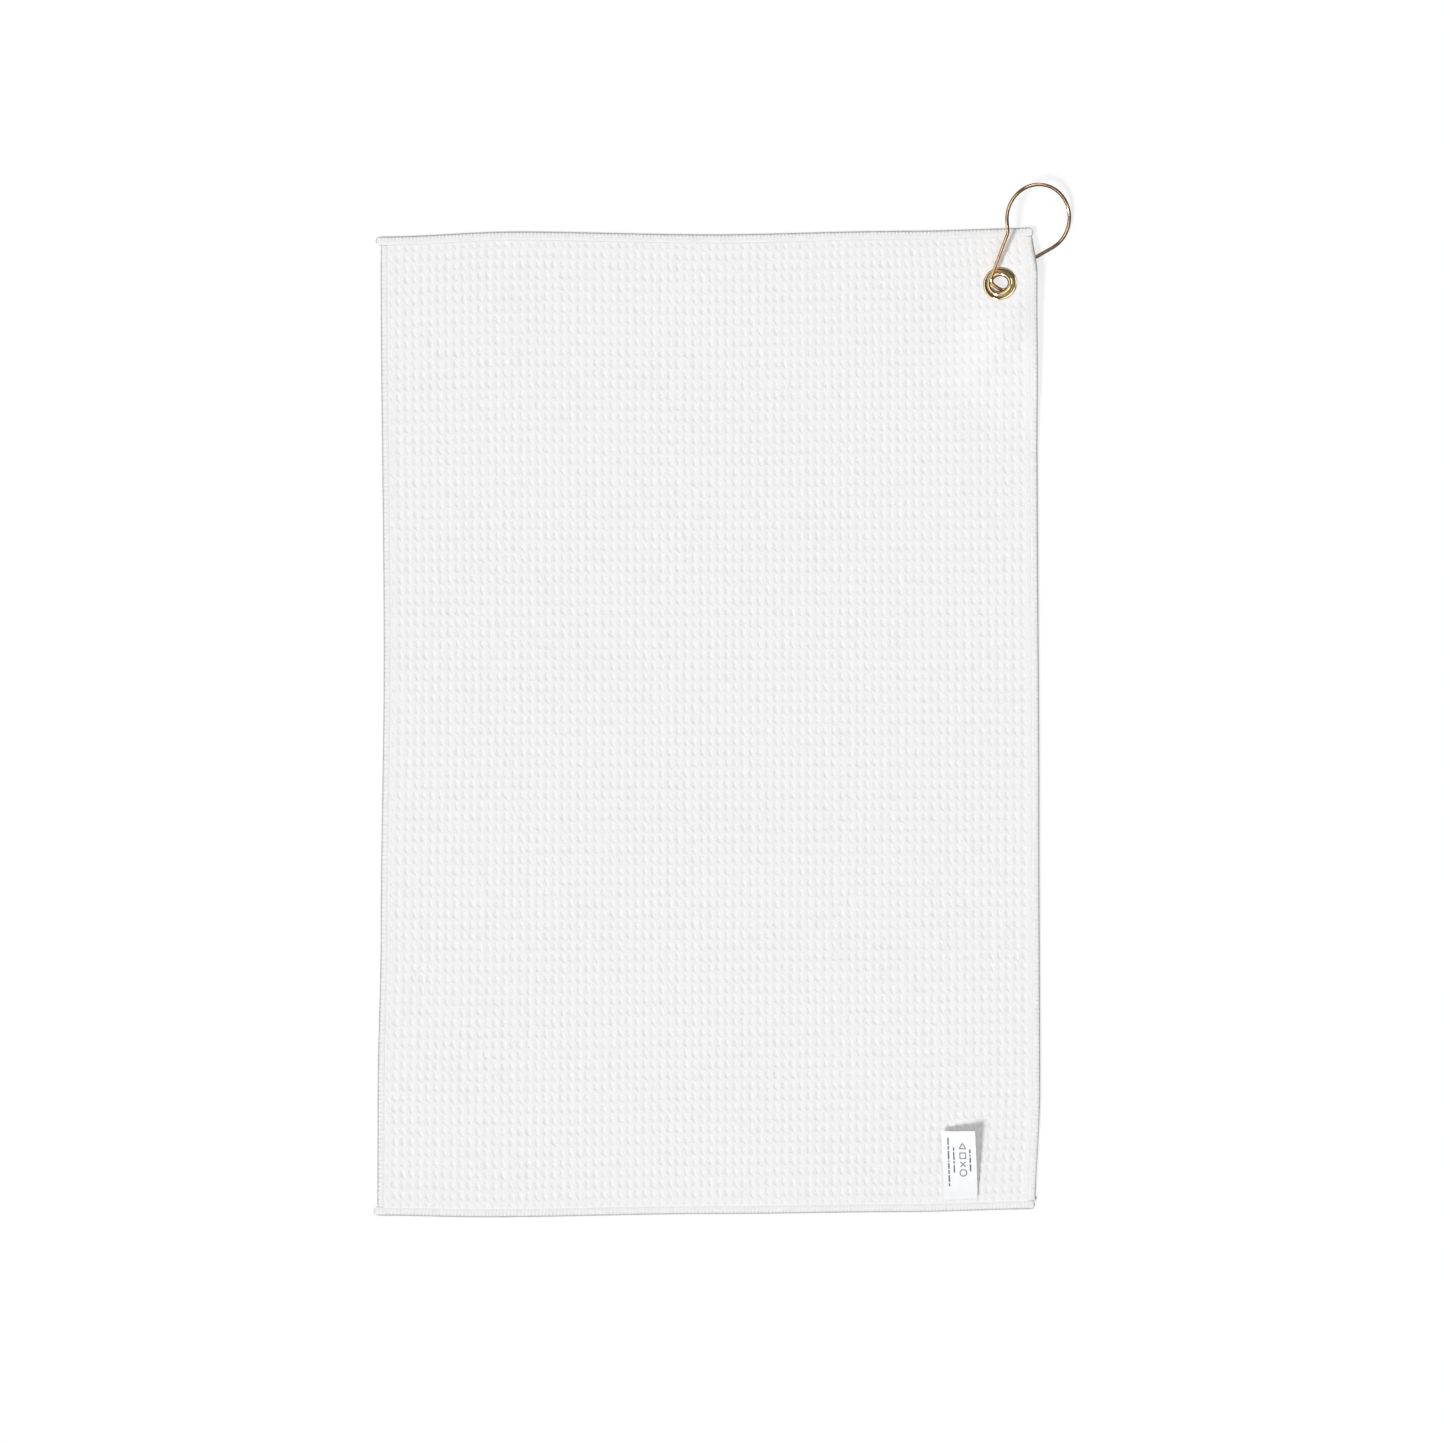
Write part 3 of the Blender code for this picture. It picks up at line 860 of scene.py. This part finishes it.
@dataclass
class Serging:
    """The thread along one edge: a wrapped band and two rows of crossing strands."""

    edge: Edge
    start: float
    end: float
    band: float
    pitch: float
    shape: ClothShape = SHAPE
    half: float = 0.7
    strand: float = 0.22
    end_radius: float = 2.4
    steps_to_stitch: int = 4
    knot_place: tuple = (-298.0, -0.15, 0.0)
    knot_turn: tuple = (0.5, 1.1, 0.3)
    knot_radii: tuple = (0.55, 0.42)

    def build(self) -> bpy.types.Object:
        """Builds, dresses and places the run of thread, and returns it."""
        parts = [self._sleeve(), self._strands(0.0, 1), self._strands(0.5, -1)]
        if self.edge is Edge.RIGHT:
            parts.append(self._knot())
        run = join(f"serging_{self.edge.value}", parts)
        # rim marks the outermost thread, which the yarn's colour darkens as a painted edge shadow.
        rim = 1 - ease(self._inset(points_of(run) / MM), 0.2, 0.85)
        carry(run, "rim", np.c_[rim, rim * 0, rim * 0])
        smooth(run)
        dress(run, Yarn())
        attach(run, "towel")
        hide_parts(f"edge_thread_{self.edge.value}")
        return run

    def place(self, along: Array, inset: Array, height: Array) -> Array:
        """Points of the run.

        Args:
            along: Place along the edge, from start to end.
            inset: How far inwards from the cloth's edge.
            height: How far over the cloth's middle surface.

        Returns:
            The points, in metres, one in each row.
        """
        half_width, half_length = self.shape.width / 2, self.shape.length / 2
        sign = 1 if self.edge in (Edge.TOP, Edge.RIGHT) else -1
        if self.edge in (Edge.LEFT, Edge.RIGHT):
            x, y = self.shape.spot(sign * (half_width - inset), along)
        else:
            held = np.clip(along, -half_width, half_width)
            table = self.shape.top if self.edge is Edge.TOP else self.shape.bottom
            x = along
            y = sign * (half_length + eased_table(table, held) - inset)
        return self.shape.lift(x, y, height) * MM

    def _inset(self, points: Array) -> Array:
        """How far points lie inwards from the run's outer line, in millimetres."""
        half_width, half_length = self.shape.width / 2, self.shape.length / 2
        x, y = points[:, 0], points[:, 1]
        if self.edge is Edge.LEFT:
            return x + half_width + eased_table(self.shape.left, y)
        if self.edge is Edge.RIGHT:
            return half_width + eased_table(self.shape.right, y) - x
        table = self.shape.top if self.edge is Edge.TOP else self.shape.bottom
        outer = half_length + eased_table(table, x) - np.abs(y) - self._rounding(x)
        return np.minimum(outer, np.minimum(x - self.start, self.end - x))

    def _rounding(self, along: Array) -> Array:
        """How far the run draws in near its two ends, which are round."""
        if self.edge in (Edge.LEFT, Edge.RIGHT):
            return np.zeros_like(along)
        nearest = np.minimum(along - self.start, self.end - along)
        reach = np.clip(self.end_radius - nearest, 0.0, self.end_radius)
        return self.end_radius - np.sqrt(np.maximum(self.end_radius**2 - reach**2, 0.0))

    def _section(self) -> Array:
        """The band's section as (inset, height) pairs, round the outside and back inside."""
        band, half = self.band, self.half
        outer = [(band, half * 0.9), (band - 0.5, half * 1.24), (band * 0.5, half * 1.12)]
        outer += [(0.9, half * 0.97)]
        for turn in range(1, 6):
            angle = math.pi * turn / 6
            outer.append((0.55 - 0.55 * math.sin(angle), half * 0.97 * math.cos(angle)))
        outer += [(inset, -height) for inset, height in outer[3::-1]]
        inner = [(band - 0.3, -0.34), (1.1, -0.34), (1.1, 0.34), (band - 0.3, 0.34)]
        return np.array(outer + inner)

    def _sleeve(self) -> bpy.types.Object:
        """The wrapped band, with a small scallop and a ridge for each stitch."""
        section = self._section()
        count = int((self.end - self.start) / self.pitch * self.steps_to_stitch)
        sleeve, column, row = grid("sleeve", count + 1, len(section) + 1)
        along = self.start + (self.end - self.start) * column / count
        inset = section[row % len(section), 0]
        height = section[row % len(section), 1]
        outer = row < len(section) - 4
        turn = along / self.pitch
        wave = 0.5 + 0.5 * np.cos(math.tau * (turn + inset / self.band * 0.5))
        near_edge = 1 - ease(inset, 0.0, 1.4)
        tooth = 0.2 * near_edge * (1 - wave) * outer
        ridge = 0.06 * (1 - wave) * (1 - near_edge) * outer
        draw = self._rounding(along)
        middle = self.band / 2
        squeeze = 1 - np.clip(draw / self.end_radius, 0, 1) * 0.45
        inset = middle + (inset + tooth - middle) * (1 - 2 * np.minimum(draw, 2.3) / self.band)
        move_points(sleeve, self.place(along, inset, (height - np.sign(height) * ridge) * squeeze))
        self._cap(sleeve)
        return sleeve

    def _cap(self, sleeve: bpy.types.Object) -> None:
        """Closes the seam along the sleeve and its two ends."""
        face_outwards(sleeve)
        with editing(sleeve, "DESELECT"):
            bpy.ops.mesh.select_mode(type="EDGE")
            bpy.ops.mesh.select_non_manifold()
            bpy.ops.mesh.fill_holes(sides=0)
            bpy.ops.mesh.select_all(action="SELECT")
            bpy.ops.mesh.normals_make_consistent(inside=False)
            bpy.ops.mesh.select_mode(type="VERT")

    def _strands(self, phase: float, way: int) -> bpy.types.Object:
        """One strand that winds round the edge, stitch after stitch.

        Args:
            phase: Its start, as a share of a stitch.
            way: 1 if it leans forwards on top, and -1 if it leans back.

        Returns:
            The strand as a mesh.
        """
        over = self.half * 1.12 - self.strand * 0.6
        needle = self.band - 0.35
        loop = [
            (0.0, needle, over), (0.14, needle * 0.66, over + 0.02), (0.3, needle * 0.33, over),
            (0.42, 0.45, over * 0.93), (0.5, -0.02, 0.0), (0.58, 0.45, -over * 0.93),
            (0.72, needle * 0.4, -over), (0.96, needle, -over), (1.0, needle + 0.1, 0.0),
        ]
        ends = self.strand + (0.6 if self.edge in (Edge.LEFT, Edge.RIGHT) else self.end_radius)
        stitches = int((self.end - self.start - 2 * ends) / self.pitch)
        first = self.start + ends + phase * self.pitch
        turns = np.arange(stitches)[:, None]
        steps, insets, heights = np.array(loop).T
        if way < 0:
            steps, insets, heights = 1 - steps[::-1], insets[::-1], heights[::-1]
        along = first + (turns + steps) * self.pitch
        path = (along, np.broadcast_to(insets, along.shape), np.broadcast_to(heights, along.shape))
        return tube("strand", self.place(*[part.ravel() for part in path]), self.strand * MM, 1)

    def _knot(self) -> bpy.types.Object:
        """The small knot of thread ends low on the right edge."""
        deselect_all()
        along, inset, height = (np.array([number]) for number in self.knot_place)
        bpy.ops.mesh.primitive_torus_add(
            location=self.place(along, inset, height)[0],
            rotation=self.knot_turn,
            major_radius=self.knot_radii[0] * MM,
            minor_radius=self.knot_radii[1] * MM,
            major_segments=16,
            minor_segments=8,
        )
        knot = bpy.context.object
        apply_place(knot)
        return knot


# ---------------------------------------------------------------- the grommet


@dataclass
class Grommet:
    """A rolled eyelet and a washer, turned from thin brass and pressed on the cloth."""

    hole_radius: float = 5.0
    flange_radius: float = 10.3
    washer_radius: float = 10.5
    sheet: float = 0.4
    clear: float = 0.85
    lip_outer: float = 8.1
    lip_height: float = 0.9
    gap: float = 0.3
    fillet: float = 1.5
    steps: int = 112

    def build(self) -> None:
        """Builds both rings."""
        self._finish("brass_eyelet", self._eyelet(), "grommet_eyelet")
        self._finish("brass_washer", self._washer(), "grommet_washer")

    def _arc(self, centre: tuple, radii: tuple, start: float, end: float, steps: int) -> list:
        """Points of an elliptical arc, with the angles in degrees."""
        angles = np.radians(np.linspace(start, end, steps + 1))
        return [
            (centre[0] + radii[0] * math.cos(a), centre[1] + radii[1] * math.sin(a))
            for a in angles
        ]

    def _eyelet(self) -> list:
        """The eyelet's section: flange below, barrel, and a lip rolled out on top."""
        base = self.clear + self.sheet + self.gap
        middle = (self.hole_radius + self.lip_outer) / 2
        half = (self.lip_outer - self.hole_radius) / 2
        low, fillet, sheet = -self.clear, self.fillet, self.sheet
        turned = self._arc((middle, base), (half, self.lip_height), 0, 180, 22)
        turn = (self.hole_radius + fillet, low - sheet + fillet)
        turned += self._arc(turn, (fillet, fillet), 180, 270, 10)
        turned += [(self.flange_radius - 1.6, low - sheet)]
        turned += self._arc((self.flange_radius - 0.45, low + 0.05), (0.45, 0.45), 270, 360, 6)
        turned += [(self.flange_radius, low + 0.25), (self.flange_radius - 0.2, low + 0.28)]
        turned += [(self.flange_radius - sheet, low + 0.2), (self.flange_radius - 1.0, low)]
        inner = fillet - sheet
        turned += self._arc(turn, (inner, inner), 270, 180, 8)
        inside = (half - sheet, self.lip_height - sheet)
        turned += self._arc((middle, base), inside, 180, 0, 18)
        return turned

    def _washer(self) -> list:
        """The washer's section: a domed ring whose rim turns down to the cloth."""
        low, sheet, rim = self.clear, self.sheet, self.washer_radius
        bore = self.hole_radius + self.sheet + self.gap
        over = [(bore, low), (rim - 1.2, low), (rim - sheet, low - 0.25)]
        over += self._arc((rim - 0.2, low - 0.2), (0.2, 0.05), 250, 350, 3)
        over += self._arc((rim - 1.35, low - 0.12), (1.35, sheet + 0.12), 8, 90, 12)
        over += [(self.lip_outer + 0.3, low + sheet * 0.94), (self.lip_outer, low + sheet * 0.8)]
        over += [(bore + 0.1, low + sheet * 0.8), (bore, low + sheet * 0.7)]
        return over

    def _finish(self, name: str, section: list, node: str) -> None:
        """Turns a section to a ring about the grommet's axis, and dresses it."""
        centre, axis = joint("hook_swivel")
        deselect_all()
        bpy.ops.mesh.primitive_circle_add(vertices=len(section), radius=1)
        ring = bpy.context.object
        ring.name = ring.data.name = name
        move_points(ring, np.array([(radius * MM, 0, height * MM) for radius, height in section]))
        with editing(ring):
            bpy.ops.mesh.spin(
                steps=self.steps, angle=math.tau, center=(0, 0, 0), axis=(0, 0, 1), dupli=False
            )
        face_outwards(ring)
        tilt = axis.to_track_quat("Z", "Y").to_matrix().to_4x4()
        ring.matrix_world = Matrix.Translation(centre) @ tilt
        apply_place(ring)
        smooth(ring, 50)
        dress(ring, BRASS)
        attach(ring, "grommet")
        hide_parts(node)


# ---------------------------------------------------------------- the hook


@dataclass
class WireHook:
    """A pear-shaped wire ring through the grommet, whose two ends lap under the cloth.

    The outline repeats the frame's drawing in the hook's plane, in millimetres.
    """

    wire_radius: float = 1.05
    loop_centre: tuple = (46.5, 0.6)
    loop_radius: float = 20.4
    top_neck: tuple = (28.8, 12.5)
    under_neck: tuple = (25.0, -10.6)
    neck_bend: float = 3.5
    small_end: float = -2.9
    small_end_half: float = 6.3
    small_end_bend: float = 5.7
    catch_tip: tuple = (17.0, -7.6)
    under_tip: tuple = (8.0, -9.2)
    loop_points: int = 97
    tip_bevel: float = 0.3

    def build(self) -> None:
        """Builds and dresses the wire."""
        base, ahead = joint("hook_roll")
        mount = next(row for row in frame["record"]["mounts"] if row["name"] == "hook_loop")
        square = Vector(mount["axis"]).normalized()
        across = square.cross(ahead).normalized()
        path = [base + (ahead * point.x + across * point.y) * MM for point in self._outline()]
        wire = tube("copper_hook", np.array(path), self.wire_radius * MM, 6)
        self._round_tips(wire)
        smooth(wire, 60)
        dress(wire, COPPER)
        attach(wire, "hook")
        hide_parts("hook_wire")

    def _touch(self, point: tuple, side: int) -> Vector:
        """Where the line from a point touches the loop's circle, on its left (1) or right (-1)."""
        away = Vector(point) - Vector(self.loop_centre)
        angle = math.atan2(away.y, away.x) - side * math.acos(self.loop_radius / away.length)
        return self._on_loop(angle)

    def _on_loop(self, angle: float) -> Vector:
        """The point of the loop's circle at an angle."""
        out = Vector((math.cos(angle), math.sin(angle)))
        return Vector(self.loop_centre) + self.loop_radius * out

    def _bend(self, before: tuple, corner: tuple, after: tuple, radius: float) -> list[Vector]:
        """Points of the arc that rounds a corner and touches both its straights."""
        into = (Vector(before) - Vector(corner)).normalized()
        out = (Vector(after) - Vector(corner)).normalized()
        half_angle = into.angle(out) / 2
        centre = Vector(corner) + (into + out).normalized() * (radius / math.sin(half_angle))
        first = Vector(corner) + into * (radius / math.tan(half_angle)) - centre
        last = Vector(corner) + out * (radius / math.tan(half_angle)) - centre
        turn = first.angle_signed(last)
        steps = max(4, round(abs(turn) * 12))
        turns = [Matrix.Rotation(-turn * step / steps, 2) for step in range(steps + 1)]
        return [centre + rotation @ first for rotation in turns]

    def _outline(self) -> list[Vector]:
        """The wire's middle line, from the catch to the tip under the cloth."""
        top_touch = self._touch(self.top_neck, 1)
        under_touch = self._touch(self.under_neck, -1)
        under_corner = (self.small_end, -self.small_end_half)
        top_corner = (self.small_end, self.small_end_half)
        points = [Vector(self.catch_tip)]
        points += self._bend(self.catch_tip, under_corner, top_corner, self.small_end_bend)
        points += self._bend(under_corner, top_corner, self.top_neck, self.small_end_bend)
        points += self._bend(top_corner, self.top_neck, top_touch, self.neck_bend)
        centre = Vector(self.loop_centre)
        first, last = top_touch - centre, under_touch - centre
        limits = (math.atan2(first.y, first.x), math.atan2(last.y, last.x))
        angles = np.linspace(*limits, self.loop_points)
        points += [self._on_loop(angle) for angle in angles]
        points += self._bend(under_touch, self.under_neck, self.under_tip, self.neck_bend)
        return points + [Vector(self.under_tip)]

    def _round_tips(self, wire: bpy.types.Object) -> None:
        """Bevels the two cut ends of the wire."""
        select_only(wire)
        bpy.ops.object.mode_set(mode="EDIT")
        mesh = bmesh.from_edit_mesh(wire.data)
        for face in mesh.faces:
            face.select_set(len(face.verts) > 4)
        bmesh.update_edit_mesh(wire.data)
        bpy.ops.mesh.bevel(offset=self.tip_bevel * MM, segments=3, affect="EDGES")
        bpy.ops.object.mode_set(mode="OBJECT")


# ---------------------------------------------------------------- the care label


@dataclass
class CareLabel:
    """A satin tape sewn by its lower end, with generic printed marks."""

    width: float = 21.0
    length: float = 44.3
    foot: float = 1.8
    thickness: float = 0.22
    end_lift: float = 4.9
    twist: float = 15.0
    bend_length: float = 3.0
    seam_inset: float = 0.9
    stitch_count: int = 8
    thread_radius: float = 0.19
    print_mesh: float = 0.8
    print_lift: float = 0.03
    line_width: float = 0.58
    dash_gap: float = 0.75
    symbol_column: float = 2.2
    hinge: Vector = field(default_factory=lambda: joint("label_flip")[0])
    edge: Vector = field(default_factory=lambda: joint("label_flip")[1])

    def build(self) -> tuple[bpy.types.Object, bpy.types.Object, bpy.types.Object]:
        """Builds the tape, its print and its stitches, and returns them."""
        tape = self._tape()
        marks = self._marks()
        stitches = self._stitches()
        for piece in (tape, marks):
            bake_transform(piece)
        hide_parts("care_label")
        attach(stitches, "towel")
        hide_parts("label_stitch")
        return tape, marks, stitches

    def sheet_points(self, across: Array, up: Array, lift: Array) -> Array:
        """Points of the tape's surface.

        Args:
            across: Place across the tape, from its middle.
            up: Place up the tape, from its hinge line; its foot is below 0.
            lift: How far over the tape's middle surface.

        Returns:
            The points, in metres, one in each row.
        """
        reach = self.length - self.foot
        share = np.clip(up / reach, 0, 1)
        over = self.end_lift * share**1.2 - 0.45 * ease(-up, -2.5, 1.0)
        over = over + 0.1 * np.sin(across / self.width * math.pi * 2.2 + share * 4) * share
        turn = math.radians(self.twist) * share**1.1
        over = over + across * np.sin(turn) + lift * np.cos(turn)
        slope = self.end_lift * 1.2 * share**0.2 / reach
        side = np.array(self.edge)
        ahead = np.array(Vector((0, 0, 1)).cross(self.edge).normalized())
        sideways = across * np.cos(turn) - lift * np.sin(turn) - (1 - np.cos(turn)) * self.width / 2
        flat = sideways[:, None] * side + (up - slope * lift)[:, None] * ahead
        return (np.array(self.hinge) / MM + flat + over[:, None] * np.array((0, 0, 1))) * MM

    def _tape(self) -> bpy.types.Object:
        """The tape, as a thin closed sheet."""
        columns, rows = 29, 57
        faces = []
        for way in (1, -1):
            side, column, row = grid("satin_label", columns, rows)
            across = self.width * (column / (columns - 1) - 0.5)
            up = self.length * row / (rows - 1) - self.foot
            half = self.thickness / 2 * way
            move_points(side, self.sheet_points(across, up, np.full(len(up), half)))
            carry(side, "tape", np.c_[across / self.width, up / self.length, across * 0])
            faces.append(side)
        tape = join("satin_label", faces)
        mesh = bmesh.new()
        mesh.from_mesh(tape.data)
        bmesh.ops.reverse_faces(mesh, faces=mesh.faces[len(mesh.faces) // 2 :])
        bmesh.ops.bridge_loops(mesh, edges=[edge for edge in mesh.edges if edge.is_boundary])
        bmesh.ops.recalc_face_normals(mesh, faces=mesh.faces)
        mesh.to_mesh(tape.data)
        mesh.free()
        smooth(tape, 60)
        dress(tape, SatinTape())
        return tape

    def _plate(
        self, across: float, up: float, wide: float, high: float, turn: float = 0.0
    ) -> bpy.types.Object:
        """A thin printed bar on the tape, turned about its middle.

        Args:
            across: Its middle across the tape.
            up: Its middle up the tape.
            wide: Its size across, before it is turned.
            high: Its size up the tape, before it is turned.
            turn: Its turn, in degrees.

        Returns:
            The bar.
        """
        columns, rows = (max(2, round(size / self.print_mesh) + 2) for size in (wide, high))
        bar, column, row = grid("bar", columns, rows)
        x = wide * (column / (columns - 1) - 0.5)
        y = high * (row / (rows - 1) - 0.5)
        sine, cosine = math.sin(math.radians(turn)), math.cos(math.radians(turn))
        placed = self.sheet_points(
            across + x * cosine - y * sine,
            up + x * sine + y * cosine,
            np.full(len(x), self.thickness / 2 + self.print_lift),
        )
        move_points(bar, placed)
        return bar

    def _outline_shape(self, across: float, up: float, corners: int, radius: float) -> list:
        """The bars of a regular outline, such as a triangle or a square."""
        bars = []
        for corner in range(corners):
            angle = 360 / corners * (corner + 0.5) + (45 if corners == 4 else 90)
            apothem = radius * math.cos(math.pi / corners)
            side = 2 * radius * math.sin(math.pi / corners) + 0.2
            x = across + apothem * math.cos(math.radians(angle))
            y = up + apothem * math.sin(math.radians(angle))
            bars.append(self._plate(x, y, self.line_width, side, angle))
        return bars

    def _marks(self) -> bpy.types.Object:
        """Rows of plain dashes and four plain shapes, printed up the tape."""
        bars = []
        rows = (
            (-6.6, 38.6, (4.6, 2.2, 5.4, 0.9, 3.6, 2.4, 4.4, 1.9), 0.95),
            (-3.3, 32.4, (2.2, 5.0, 1.6, 4.9), 0.85),
            (6.7, 31.0, (2.6, 1.1, 3.4, 4.6), 0.95),
        )
        for across, top, dashes, thick in rows:
            place = top
            for dash in dashes:
                bars.append(self._plate(across, place - dash / 2, thick, dash))
                place -= dash + self.dash_gap
        middle = self.symbol_column
        bars += self._outline_shape(middle, 32.6, 3, 2.3)
        bars += self._outline_shape(middle, 27.0, 4, 2.5)
        bars += [self._plate(middle, 21.6, 0.62, 4.6, turn) for turn in (45, -45)]
        bars += self._outline_shape(middle, 16.2, 12, 2.1)
        marks = join("label_print", bars)
        solid = marks.modifiers.new("Ink", "SOLIDIFY")
        solid.thickness = 0.02 * MM
        solid.offset = 0.0
        select_only(marks)
        bpy.ops.object.modifier_apply(modifier=solid.name)
        face_outwards(marks, 0.001)
        dress(marks, PrintedInk())
        return marks

    def _stitches(self) -> bpy.types.Object:
        """The row of stitches that holds the tape's foot to the cloth."""
        pitch = self.width / self.stitch_count
        share = np.linspace(-1, 1, 9)
        over = 0.16 * (1 - share**4) - 0.26 * share**4 + self.thickness / 2
        up = np.full(len(share), self.seam_inset - self.foot)
        made = []
        for turn in range(self.stitch_count):
            middle = (turn + 0.5 - self.stitch_count / 2) * pitch
            path = self.sheet_points(middle + share * pitch * 0.38, up, over)
            made.append(tube("stitch", path, self.thread_radius * MM, 2))
        stitches = join("label_stitching", made)
        smooth(stitches)
        dress(stitches, Yarn())
        return stitches


# ---------------------------------------------------------------- the studio


@dataclass
class Studio:
    """A white floor, soft lights and a camera that looks straight down."""

    view_width: float = 897.8
    view_centre: tuple = (7.9, 1.2)
    distance: float = 1600.0
    sensor: float = 36.0
    floor_depth: float = 0.2
    floor_grey: Colour = (0.32, 0.32, 0.322)
    floor_mirrored: Colour = (0.03, 0.025, 0.02)
    floor_glow: float = 0.665
    sky_strength: float = 0.33
    mirrored_side: tuple = (-0.55, -0.45, 0.7)
    mirrored_band: tuple = (
        (0.0, 0.03), (0.3, 0.02), (0.5, 0.03), (0.6, 0.9),
        (0.7, 0.8), (0.8, 0.05), (0.92, 0.02), (1.0, 0.02),
    )
    lamps: tuple = (
        ("key_light", 218, 45, 14, 2.35),
        ("fill_light", 48, 52, 24, 0.42),
        ("top_light", 120, 84, 30, 0.42),
    )

    def build(self) -> None:
        """Sets up the camera, the floor, the sky and the lights."""
        self._camera()
        self._floor()
        self._sky()
        for lamp in self.lamps:
            self._sun(*lamp)
        bpy.context.scene.view_settings.view_transform = "Standard"

    def _camera(self) -> None:
        """The camera, over the towel."""
        data = bpy.data.cameras.new("camera")
        data.sensor_width = self.sensor
        data.lens = self.sensor * self.distance / self.view_width
        data.clip_end = 30
        camera = bpy.data.objects.new("camera", data)
        camera.location = (self.view_centre[0] * MM, self.view_centre[1] * MM, self.distance * MM)
        bpy.context.scene.collection.objects.link(camera)
        bpy.context.scene.camera = camera

    def _floor(self) -> None:
        """The floor, just under the towel."""
        deselect_all()
        bpy.ops.mesh.primitive_plane_add(size=12, location=(0, 0, -self.floor_depth * MM))
        floor = bpy.context.object
        floor.name = "floor"
        nodes = SurfaceMaths("floor_paper")
        mirrored = nodes.value("ShaderNodeLightPath", output="Is Glossy Ray")
        nodes.set(Base_Color=nodes.mix(mirrored, self.floor_grey, self.floor_mirrored))
        nodes.set(Emission_Color=nodes.mix(mirrored, (1.0, 1.0, 1.0), self.floor_mirrored))
        nodes.set(Emission_Strength=self.floor_glow, Roughness=0.9, Specular_IOR_Level=0.05)
        floor.data.materials.append(nodes.material)

    def _sky(self) -> None:
        """A plain pale sky, and for the metals a dark one to mirror, with one bright band."""
        world = bpy.data.worlds.new("studio_sky")
        world.use_nodes = True
        bpy.context.scene.world = world
        nodes = NodeTree(world.node_tree)
        plain = nodes.tree.nodes["Background"]
        nodes.feed(plain.inputs["Color"], (1.0, 1.0, 1.0))
        nodes.feed(plain.inputs["Strength"], self.sky_strength)
        place = nodes.node("ShaderNodeTexCoord").outputs["Generated"]
        height = nodes.node("ShaderNodeSeparateXYZ", None, {0: place}).outputs["Z"]
        band = nodes.node("ShaderNodeValToRGB", {"stops": self.mirrored_band}, {0: height})
        dot = {"operation": "DOT_PRODUCT"}
        facing = nodes.node("ShaderNodeVectorMath", dot, {0: place, 1: self.mirrored_side})
        soft = {"interpolation_type": "SMOOTHSTEP"}
        limits = {"From Min": 0.0, "From Max": 0.95, "To Min": 0.35, "To Max": 2.5}
        sockets = {"Value": facing.outputs["Value"], **limits}
        strength = nodes.node("ShaderNodeMapRange", soft, sockets).outputs["Result"]
        sockets = {"Color": band.outputs[0], "Strength": strength}
        mirrored = nodes.node("ShaderNodeBackground", None, sockets)
        glossy = nodes.node("ShaderNodeLightPath").outputs["Is Glossy Ray"]
        sockets = {0: glossy, 1: plain.outputs[0], 2: mirrored.outputs[0]}
        chosen = nodes.node("ShaderNodeMixShader", None, sockets)
        nodes.feed(nodes.tree.nodes["World Output"].inputs["Surface"], chosen.outputs[0])

    def _sun(
        self, name: str, azimuth: float, elevation: float, spread: float, strength: float
    ) -> None:
        """A distant soft light.

        Args:
            name: Its name.
            azimuth: Where it stands, in degrees anticlockwise from +X.
            elevation: Its height over the floor, in degrees.
            spread: How wide it looks, in degrees.
            strength: Its light on a surface square to it.
        """
        deselect_all()
        bpy.ops.object.light_add(type="SUN")
        lamp = bpy.context.object
        lamp.name = name
        lamp.data.angle = math.radians(spread)
        lamp.data.energy = strength
        level = Vector((math.cos(math.radians(azimuth)), math.sin(math.radians(azimuth)), 0))
        up = math.radians(elevation)
        towards = level * math.cos(up) + Vector((0, 0, math.sin(up)))
        lamp.rotation_mode = "QUATERNION"
        lamp.rotation_quaternion = (-towards).to_track_quat("-Z", "Y")


# ---------------------------------------------------------------- the whole


def edge_runs(shape: ClothShape, panel: TowelPanel) -> list[Serging]:
    """The four runs of overlock thread, which reach past the sides at the hems."""
    side_reach = shape.length / 2 - panel.hem_band - 0.1
    hem_pitch, side_pitch = 2.2, 2.7
    return [
        Serging(Edge.TOP, -207.4, 200.6, panel.hem_band, hem_pitch),
        Serging(Edge.BOTTOM, -208.6, 201.8, panel.hem_band, hem_pitch),
        Serging(Edge.LEFT, -side_reach, side_reach, panel.side_band, side_pitch),
        Serging(Edge.RIGHT, -side_reach, side_reach, panel.side_band, side_pitch),
    ]


def main() -> None:
    """Builds the studio and the towel."""
    logging.basicConfig(level=logging.INFO, format="%(name)s: %(message)s")
    Studio().build()
    log.info("studio")
    panel = TowelPanel()
    cloth = panel.build()
    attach(cloth, "towel")
    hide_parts("towel_panel")
    log.info("towel_cloth: %d faces", len(cloth.data.polygons))
    runs = [run.build() for run in edge_runs(SHAPE, panel)]
    for run in runs:
        log.info("%s: %d faces", run.name, len(run.data.polygons))
    Grommet().build()
    log.info("grommet")
    WireHook().build()
    log.info("hook")
    label = CareLabel()
    tape, marks, stitches = label.build()
    log.info("care label")


if __name__ == "__main__":
    main()
